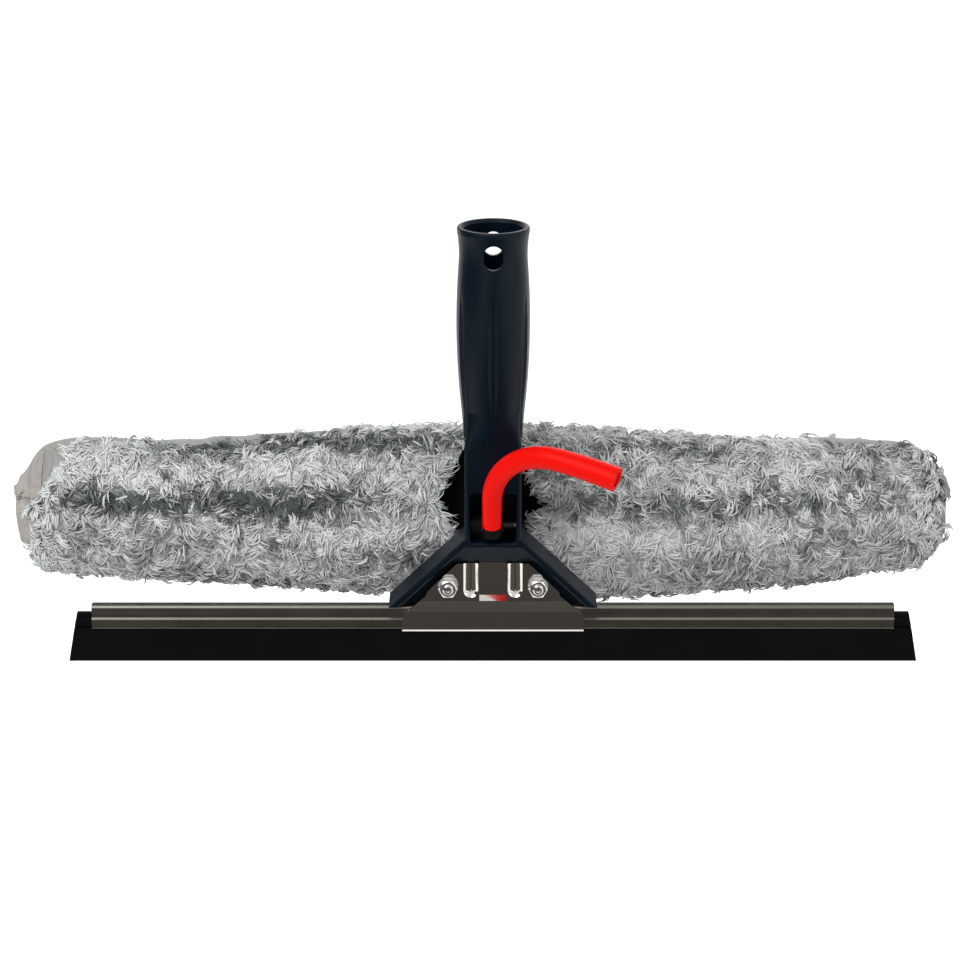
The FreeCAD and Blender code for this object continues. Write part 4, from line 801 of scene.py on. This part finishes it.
def fibre_mesh(name, paths, tones, radius, section):
    """Draw the locks as tapered tubes, with their tone and their height on each vertex."""
    data = bpy.data.curves.new(name, "CURVE")
    data.dimensions = "3D"
    data.bevel_mode = "OBJECT"
    data.bevel_object = section
    data.use_fill_caps = True
    points = paths.shape[1]
    taper = np.array(LOCK_TAPER) * radius
    flat = np.concatenate([paths, np.ones(paths.shape[:2] + (1,))], axis=2).reshape(len(paths), -1)
    for path in flat:
        spline = data.splines.new("POLY")
        spline.points.add(points - 1)
        spline.points.foreach_set("co", path)
        spline.points.foreach_set("radius", taper)
    mesh = settled(add_object(name, data))
    bpy.data.curves.remove(data)
    if len(mesh.vertices) != len(paths) * (points + 2) * SECTION_SIDES:
        raise RuntimeError(f"{name}: {len(mesh.vertices)} vertices for {len(paths)} locks")
    # The caps come first, from the last lock to the first, and then the walls in order.
    cap_tones = np.repeat(tones[::-1], 2 * SECTION_SIDES)
    tone = np.concatenate([cap_tones, np.repeat(tones, points * SECTION_SIDES)])
    rings = np.repeat(np.linspace(0.0, 1.0, points), SECTION_SIDES)
    caps = np.repeat([1.0, 0.0], SECTION_SIDES)
    height = np.concatenate([np.tile(caps, len(paths)), np.tile(rings, len(paths))])
    for label, values in (("tone", tone), ("height", height)):
        mesh.attributes.new(label, "FLOAT", "POINT").data.foreach_set("value", values.astype(np.float32))
    weld(mesh)
    mesh.polygons.foreach_set("use_smooth", np.ones(len(mesh.polygons), bool))
    return mesh


def fibre_colour(tree, settings, tone, height):
    """Pale ridges and grey green stripes; painted shade makes the locks a little darker at the roots and
    paler at the tips.
    """
    place = put(tree, "ShaderNodeTexCoord").outputs["Object"]
    cloud = put(tree, "ShaderNodeTexNoise", {"Vector": place, "Scale": 60.0, "Detail": 3.0}).outputs["Fac"]
    # Painted shade: the height along each lock darkens its root and lightens its tip, on top of the random
    # mottling.
    mottle_and_root_shade = calc(tree, "ADD", swing(tree, cloud, 0.5), swing(tree, height, 0.38))
    level = calc(tree, "ADD", tone, mottle_and_root_shade)
    share = put(tree, "ShaderNodeMapRange", {0: level, 1: 0.10, 2: 1.0}, interpolation_type="SMOOTHSTEP")
    colour = mixed(tree, share.outputs[0], opaque(settings.stripe_and_root_shade_colour), opaque(settings.tip_colour))
    return colour, calc(tree, "ADD", calc(tree, "MULTIPLY", cloud, 0.3), 0.5)


def fibre_material(settings):
    """Soft fibre, toned from the values on its vertices."""
    material, glossy = new_material("fibre_pile")
    tree = material.node_tree
    height = put(tree, "ShaderNodeAttribute", attribute_name="height").outputs["Fac"]
    tone = put(tree, "ShaderNodeAttribute", attribute_name="tone").outputs["Fac"]
    colour, rough = fibre_colour(tree, settings, tone, height)
    tree.links.new(colour, glossy.inputs["Base Color"])
    tree.links.new(rough, glossy.inputs["Roughness"])
    glossy.inputs["Specular IOR Level"].default_value = 0.3
    glossy.inputs["Sheen Weight"].default_value = 0.25
    glossy.inputs["Sheen Roughness"].default_value = 0.5
    return material


def ground_material(settings):
    """Short dense fibre of the cloth between the tufts."""
    material, glossy = new_material("pile_ground")
    tree = material.node_tree
    place = put(tree, "ShaderNodeTexCoord").outputs["Object"]
    fuzz = put(tree, "ShaderNodeTexNoise", {"Vector": place, "Scale": 900.0, "Detail": 4.0}).outputs["Fac"]
    tone = put(tree, "ShaderNodeAttribute", attribute_name="tone").outputs["Fac"]
    speckled = calc(tree, "ADD", tone, swing(tree, fuzz, 1.2))
    colour, rough = fibre_colour(tree, settings, speckled, fuzz)
    tree.links.new(colour, glossy.inputs["Base Color"])
    tree.links.new(rough, glossy.inputs["Roughness"])
    relief = put(tree, "ShaderNodeBump", {"Height": fuzz, "Distance": 0.0008, "Strength": 0.8})
    tree.links.new(relief.outputs[0], glossy.inputs["Normal"])
    return material


def cloth_material(name, colour):
    return surface_material(name, woven_group(), {
        "Map": "cloth", "Colour": opaque(colour), "Threads": 950.0, "Roughness": 0.88,
    }, 0.0003, Sheen_Weight=0.3, Sheen_Roughness=0.5)


# Stage


def background_share(tree):
    """One for rays that see the background straight, in gloss or through glass."""
    path = put(tree, "ShaderNodeLightPath")
    seen = calc(tree, "MAXIMUM", path.outputs["Is Camera Ray"], path.outputs["Is Glossy Ray"])
    return calc(tree, "MAXIMUM", seen, path.outputs["Is Transmission Ray"])


def stage_sheet(name, half, place):
    """A flat matt square of the stage; returns it and its shader."""
    shape = bmesh.new()
    bmesh.ops.create_grid(shape, x_segments=1, y_segments=1, size=half, matrix=place)
    mesh = mesh_of(shape, name)
    sheet = add_object(name, mesh)
    material, glossy = new_material(name)
    glossy.inputs["Roughness"].default_value = STAGE_ROUGHNESS
    mesh.materials.append(material)
    return sheet, glossy


def make_floor(studio, floor_z):
    """A pale floor that glows where it is seen, so that the ground stays white."""
    floor, glossy = stage_sheet("studio_floor", FLOOR_HALF, Matrix.Translation((0.0, 0.0, floor_z)))
    tree = glossy.id_data
    glossy.inputs["Base Color"].default_value = opaque(studio.floor_colour)
    glossy.inputs["Specular IOR Level"].default_value = 0.0
    strength = calc(tree, "MULTIPLY", background_share(tree), FLOOR_GLOW)
    glow = put(tree, "ShaderNodeEmission", {"Strength": strength})
    both = put(tree, "ShaderNodeAddShader", {0: glossy.outputs[0], 1: glow.outputs[0]})
    tree.links.new(both.outputs[0], tree.nodes["Material Output"].inputs["Surface"])


def card_place(middle, halves, turn=Matrix.Identity(4)):
    return Matrix.Translation(middle) @ turn @ Matrix.Diagonal((*halves, 1.0, 1.0))


def make_card(name, place, colour):
    """A dark studio card that only reflections see, for the dark tones in metal and gloss."""
    card, glossy = stage_sheet(name, 1.0, place)
    glossy.inputs["Base Color"].default_value = opaque(colour)
    card.visible_camera = False
    card.visible_diffuse = False
    card.visible_shadow = False


def make_world(scene, studio):
    """White where it is seen, and dimmer as a light."""
    world = bpy.data.worlds.new("studio")
    world.use_nodes = True
    tree = world.node_tree
    share = background_share(tree)
    strength = put(tree, "ShaderNodeMapRange", {0: share, 3: studio.ambient, 4: 1.0})
    tree.nodes["Background"].inputs["Color"].default_value = (1.0, 1.0, 1.0, 1.0)
    tree.links.new(strength.outputs[0], tree.nodes["Background"].inputs["Strength"])
    scene.world = world


def make_lamp(name, place, size, power, target):
    data = bpy.data.lights.new(name, "AREA")
    data.shape = "DISK"
    data.size = size
    data.energy = power
    lamp = add_object(name, data)
    lamp.location = place
    lamp.rotation_mode = "QUATERNION"
    lamp.rotation_quaternion = (Vector(target) - lamp.location).to_track_quat("-Z", "Y")


def make_camera(scene, studio):
    data = bpy.data.cameras.new("camera")
    data.sensor_width = SENSOR_WIDTH
    data.lens = studio.lens
    camera = add_object("camera", data)
    back = Vector((0.0, -math.cos(studio.elevation), math.sin(studio.elevation)))
    camera.location = Vector(studio.target) + back * studio.distance
    camera.rotation_mode = "QUATERNION"
    camera.rotation_quaternion = (-back).to_track_quat("-Z", "Y")
    data.clip_start = 0.05
    data.clip_end = 50.0
    scene.camera = camera
    scene.view_settings.view_transform = "Standard"


# Operators


class WASHER_OT_dress_plastic(bpy.types.Operator):
    """Give the handle, the lever's hub and the washer bar their moulded finishes"""

    bl_idname = "washer.dress_plastic"
    bl_label = "Dress moulded pieces"

    def execute(self, context):
        finish = context.scene.washer_finish
        give(plastic("handle_plastic", finish.handle_colour, finish.handle_roughness), "handle_body")
        # The hub's darker black is partly painted shade of the pocket.
        give(plastic("hub_plastic", finish.hub_colour, 0.45, 0.04), "lever_hub")
        give(plastic("bar_plastic", finish.bar_colour, 0.55), "t_bar")
        return {"FINISHED"}


class WASHER_OT_dress_metal(bpy.types.Operator):
    """Give the clamp, the channel, the spring and the fasteners their metal finishes"""

    bl_idname = "washer.dress_metal"
    bl_label = "Dress metal pieces"

    def execute(self, context):
        finish = context.scene.washer_finish
        give(metal("polished_steel", finish.plate_colour, 500.0, 0.12, 0.07), "clamp_plate")
        give(metal("channel_steel", finish.channel_colour, 1400.0, 0.45, 0.30), "channel")
        zinc = metal("zinc_steel", finish.zinc_colour, 700.0, 0.25, 0.22)
        give(zinc, "clamp_bolts", "clamp_washers", "clamp_nuts", "lever_rod", "t_bar_screws")
        # Painted shade: the pin's zinc is darkened for the pocket's shade.
        give(metal("dull_zinc", finish.shaded_pin_colour, 700.0, 0.25, 0.5), "lever_pin")
        wire = metal("spring_steel", finish.wire_colour, 900.0, 0.3, 0.25)
        give(wire, "rod_roll_pin", "end_clip_left", "end_clip_right")
        give(metal("dark_wire", finish.spring_colour, 900.0, 0.3, 0.38), "lever_spring")
        return {"FINISHED"}


class WASHER_OT_dress_rubber(bpy.types.Operator):
    """Give the blade its rubber and the lever its red vinyl"""

    bl_idname = "washer.dress_rubber"
    bl_label = "Dress rubber and vinyl"

    def execute(self, context):
        finish = context.scene.washer_finish
        rubber = surface_material("black_rubber", moulded_group(), {
            "Colour": opaque(finish.rubber_colour), "Grain": 900.0, "Mottle": 0.5, "Roughness": 0.52,
        }, 0.00005, Specular_IOR_Level=0.05)
        give(rubber, "rubber_blade")
        vinyl = surface_material("red_vinyl", moulded_group(), {
            "Colour": opaque(finish.grip_colour), "Grain": 260.0, "Mottle": 0.08, "Roughness": 0.32,
        }, 0.00008, Specular_IOR_Level=0.06)
        give(vinyl, "lever_grip")
        return {"FINISHED"}


class WASHER_OT_make_cloth(bpy.types.Operator):
    """Make the sleeve's cloth with its bare hem and its open slit for the stem"""

    bl_idname = "washer.make_cloth"
    bl_label = "Make sleeve cloth"

    def execute(self, context):
        settings = context.scene.washer_sleeve
        depth = settings.pile_depth
        stations = SLEEVE_X + np.linspace(-SLEEVE_CAP, SLEEVE_CAP, CLOTH_RINGS)
        mesh = ring_mesh(
            "sleeve_form", stations, CLOTH_SIDES, lambda x, turn: pile_room(x, turn, depth), CLOTH_WRINKLE)
        # Painted shade: the cut walls of the slit and the seat take this black, for the dark inside of the
        # sleeve.
        slit_shade = plastic("slit_lining", settings.tape_and_slit_shade_colour, 0.8)
        mesh.materials.append(cloth_material("hem_cloth", settings.hem_colour))
        mesh.materials.append(ground_material(settings))
        for face in mesh.polygons:
            spot = face.center
            turn = sleeve_turn(np.array(spot))
            bare = pile_room(spot.x, turn, depth) < BARE_SHARE * depth
            bare = bare or abs(spot.x - SLEEVE_X) > pile_end(spot.x, turn)
            face.material_index = 0 if bare else 1
        form = add_object("sleeve_form", mesh)
        blocks = sleeve_cutters(slit_shade)
        for block in blocks:
            opening = form.modifiers.new(block.name, "BOOLEAN")
            opening.operation = "DIFFERENCE"
            opening.solver = "EXACT"
            opening.material_mode = "TRANSFER"
            opening.object = block
        cloth_mesh = settled(form)
        for block in blocks:
            bpy.data.objects.remove(block)
        flat_map(cloth_mesh)
        ground_tone(cloth_mesh)
        cloth = new_piece("sleeve_cloth", cloth_mesh, "handle", "grey_fibre")
        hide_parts("washer_sleeve")
        return {"FINISHED"}


class WASHER_OT_make_caps(bpy.types.Operator):
    """Make the plain cloth caps at the ends of the sleeve"""

    bl_idname = "washer.make_caps"
    bl_label = "Make sleeve ends"

    def execute(self, context):
        settings = context.scene.washer_sleeve
        material = cloth_material("end_cloth", settings.cloth_colour)
        for side, sign, inset in CAP_INSETS:
            stations = SLEEVE_X + sign * np.linspace(SLEEVE_CAP - CAP_LAP, SLEEVE_TIP, CAP_RINGS)
            mesh = ring_mesh(
                f"cap_{side}", stations, CAP_SIDES, lambda x, turn: inset + 0.0 * turn, CAP_WRINKLE)
            raise_seam(mesh)
            flat_map(mesh)
            cap = new_piece(f"sleeve_cap_{side}", mesh, "handle", "plain_cloth", material)
            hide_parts(f"sleeve_end_{side}")
        return {"FINISHED"}


class WASHER_OT_make_closure(bpy.types.Operator):
    """Make the two halves of the touch closure at the back of the sleeve"""

    bl_idname = "washer.make_closure"
    bl_label = "Make touch closure"

    def execute(self, context):
        settings = context.scene.washer_sleeve
        material = surface_material("closure_tape", moulded_group(), {
            "Colour": opaque(settings.tape_and_slit_shade_colour), "Grain": 1300.0, "Mottle": 0.5, "Roughness": 0.8,
        }, 0.0006)
        for layer, name in enumerate(("closure_loop", "closure_hook")):
            shape = bmesh.new()
            bmesh.ops.create_cube(shape, size=2.0)
            size = (CLOSURE_HALF[0], CLOSURE_GAUGE / 2.0, CLOSURE_HALF[1])
            bmesh.ops.scale(shape, verts=shape.verts, vec=size)
            round_edges(shape, True, CLOSURE_CORNER, 5)
            round_edges(shape, False, CLOSURE_EDGE, 2)
            middle = CLOSURE_Y + (layer + 0.5) * CLOSURE_GAUGE
            bmesh.ops.translate(shape, verts=shape.verts, vec=(0.0, middle, SLEEVE_Z))
            mesh = mesh_of(shape, name)
            tape = new_piece(f"{name}_tape", mesh, "handle", "closure_tape", material)
            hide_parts(name)
        return {"FINISHED"}


class WASHER_OT_make_pile(bpy.types.Operator):
    """Make the fibre pile of the sleeve, one piece for each part of its surface"""

    bl_idname = "washer.make_pile"
    bl_label = "Make fibre pile"

    def execute(self, context):
        settings = context.scene.washer_sleeve
        paths, tones, x, angle = fibre_paths(settings)
        material = fibre_material(settings)
        section = fibre_section()
        far = np.abs(x - SLEEVE_X) > COLUMN_REACH
        columns = (
            ("left_end", (x < SLEEVE_X) & far),
            ("left", (x < SLEEVE_X) & ~far),
            ("right", (x >= SLEEVE_X) & ~far),
            ("right_end", (x >= SLEEVE_X) & far),
        )
        for side, beside in columns:
            for level, above in (("upper", np.sin(angle) >= 0.0), ("lower", np.sin(angle) < 0.0)):
                for face, facing in (("front", np.cos(angle) >= 0.0), ("back", np.cos(angle) < 0.0)):
                    chosen = beside & above & facing
                    name = f"pile_{face}_{level}_{side}"
                    mesh = fibre_mesh(name, paths[chosen], tones[chosen], settings.lock_radius, section)
                    new_piece(name, mesh, "handle", "grey_fibre", material)
        bpy.data.objects.remove(section)
        return {"FINISHED"}


class WASHER_OT_set_stage(bpy.types.Operator):
    """Set the floor, the lamps, the room's light and the camera"""

    bl_idname = "washer.set_stage"
    bl_label = "Set studio stage"

    def execute(self, context):
        studio = context.scene.washer_studio
        floor_z = CAD_BOX[0].z - studio.floor_gap
        make_floor(studio, floor_z)
        large = card_place((0.0, -3.2, floor_z + 0.01), (0.8, 2.9))
        make_card("studio_card", large, studio.card_colour)
        small = card_place((0.0, -1.05, floor_z + 0.02), (0.16, 0.2))
        make_card("studio_patch", small, studio.patch_colour)
        upright = Matrix.Rotation(math.pi / 2.0, 4, "Y")
        flag = card_place((-1.3, -0.4, 0.3), (0.8, 1.3), upright)
        make_card("studio_flag", flag, studio.card_colour)
        make_world(context.scene, studio)
        for name, place, size in LAMPS:
            make_lamp(name, place, size, getattr(studio, f"{name}_power"), studio.target)
        make_camera(context.scene, studio)
        return {"FINISHED"}


class WASHER_PT_tools(bpy.types.Panel):
    """List the steps that dress the washer"""

    bl_label = "Window washer"
    bl_idname = "WASHER_PT_tools"
    bl_space_type = "VIEW_3D"
    bl_region_type = "UI"
    bl_category = "Washer"

    def draw(self, context):
        for step in STEPS:
            self.layout.operator(step.bl_idname)
        for group in (context.scene.washer_finish, context.scene.washer_sleeve, context.scene.washer_studio):
            box = self.layout.box()
            for name in group.bl_rna.properties.keys():
                if name not in ("rna_type", "name"):
                    box.prop(group, name)


GROUPS = (FinishSettings, SleeveSettings, StudioSettings)
STEPS = (
    WASHER_OT_set_stage,
    WASHER_OT_dress_plastic,
    WASHER_OT_dress_metal,
    WASHER_OT_dress_rubber,
    WASHER_OT_make_cloth,
    WASHER_OT_make_caps,
    WASHER_OT_make_closure,
    WASHER_OT_make_pile,
)


def register():
    for item in GROUPS + STEPS + (WASHER_PT_tools,):
        bpy.utils.register_class(item)
    bpy.types.Scene.washer_finish = PointerProperty(type=FinishSettings)
    bpy.types.Scene.washer_sleeve = PointerProperty(type=SleeveSettings)
    bpy.types.Scene.washer_studio = PointerProperty(type=StudioSettings)


def unregister():
    del bpy.types.Scene.washer_studio
    del bpy.types.Scene.washer_sleeve
    del bpy.types.Scene.washer_finish
    for item in reversed(GROUPS + STEPS + (WASHER_PT_tools,)):
        bpy.utils.unregister_class(item)


def main():
    register()
    bpy.ops.washer.set_stage()
    bpy.ops.washer.dress_plastic()
    bpy.ops.washer.dress_metal()
    bpy.ops.washer.dress_rubber()
    bpy.ops.washer.make_cloth()
    bpy.ops.washer.make_caps()
    bpy.ops.washer.make_closure()
    bpy.ops.washer.make_pile()


if __name__ == "__main__":
    main()
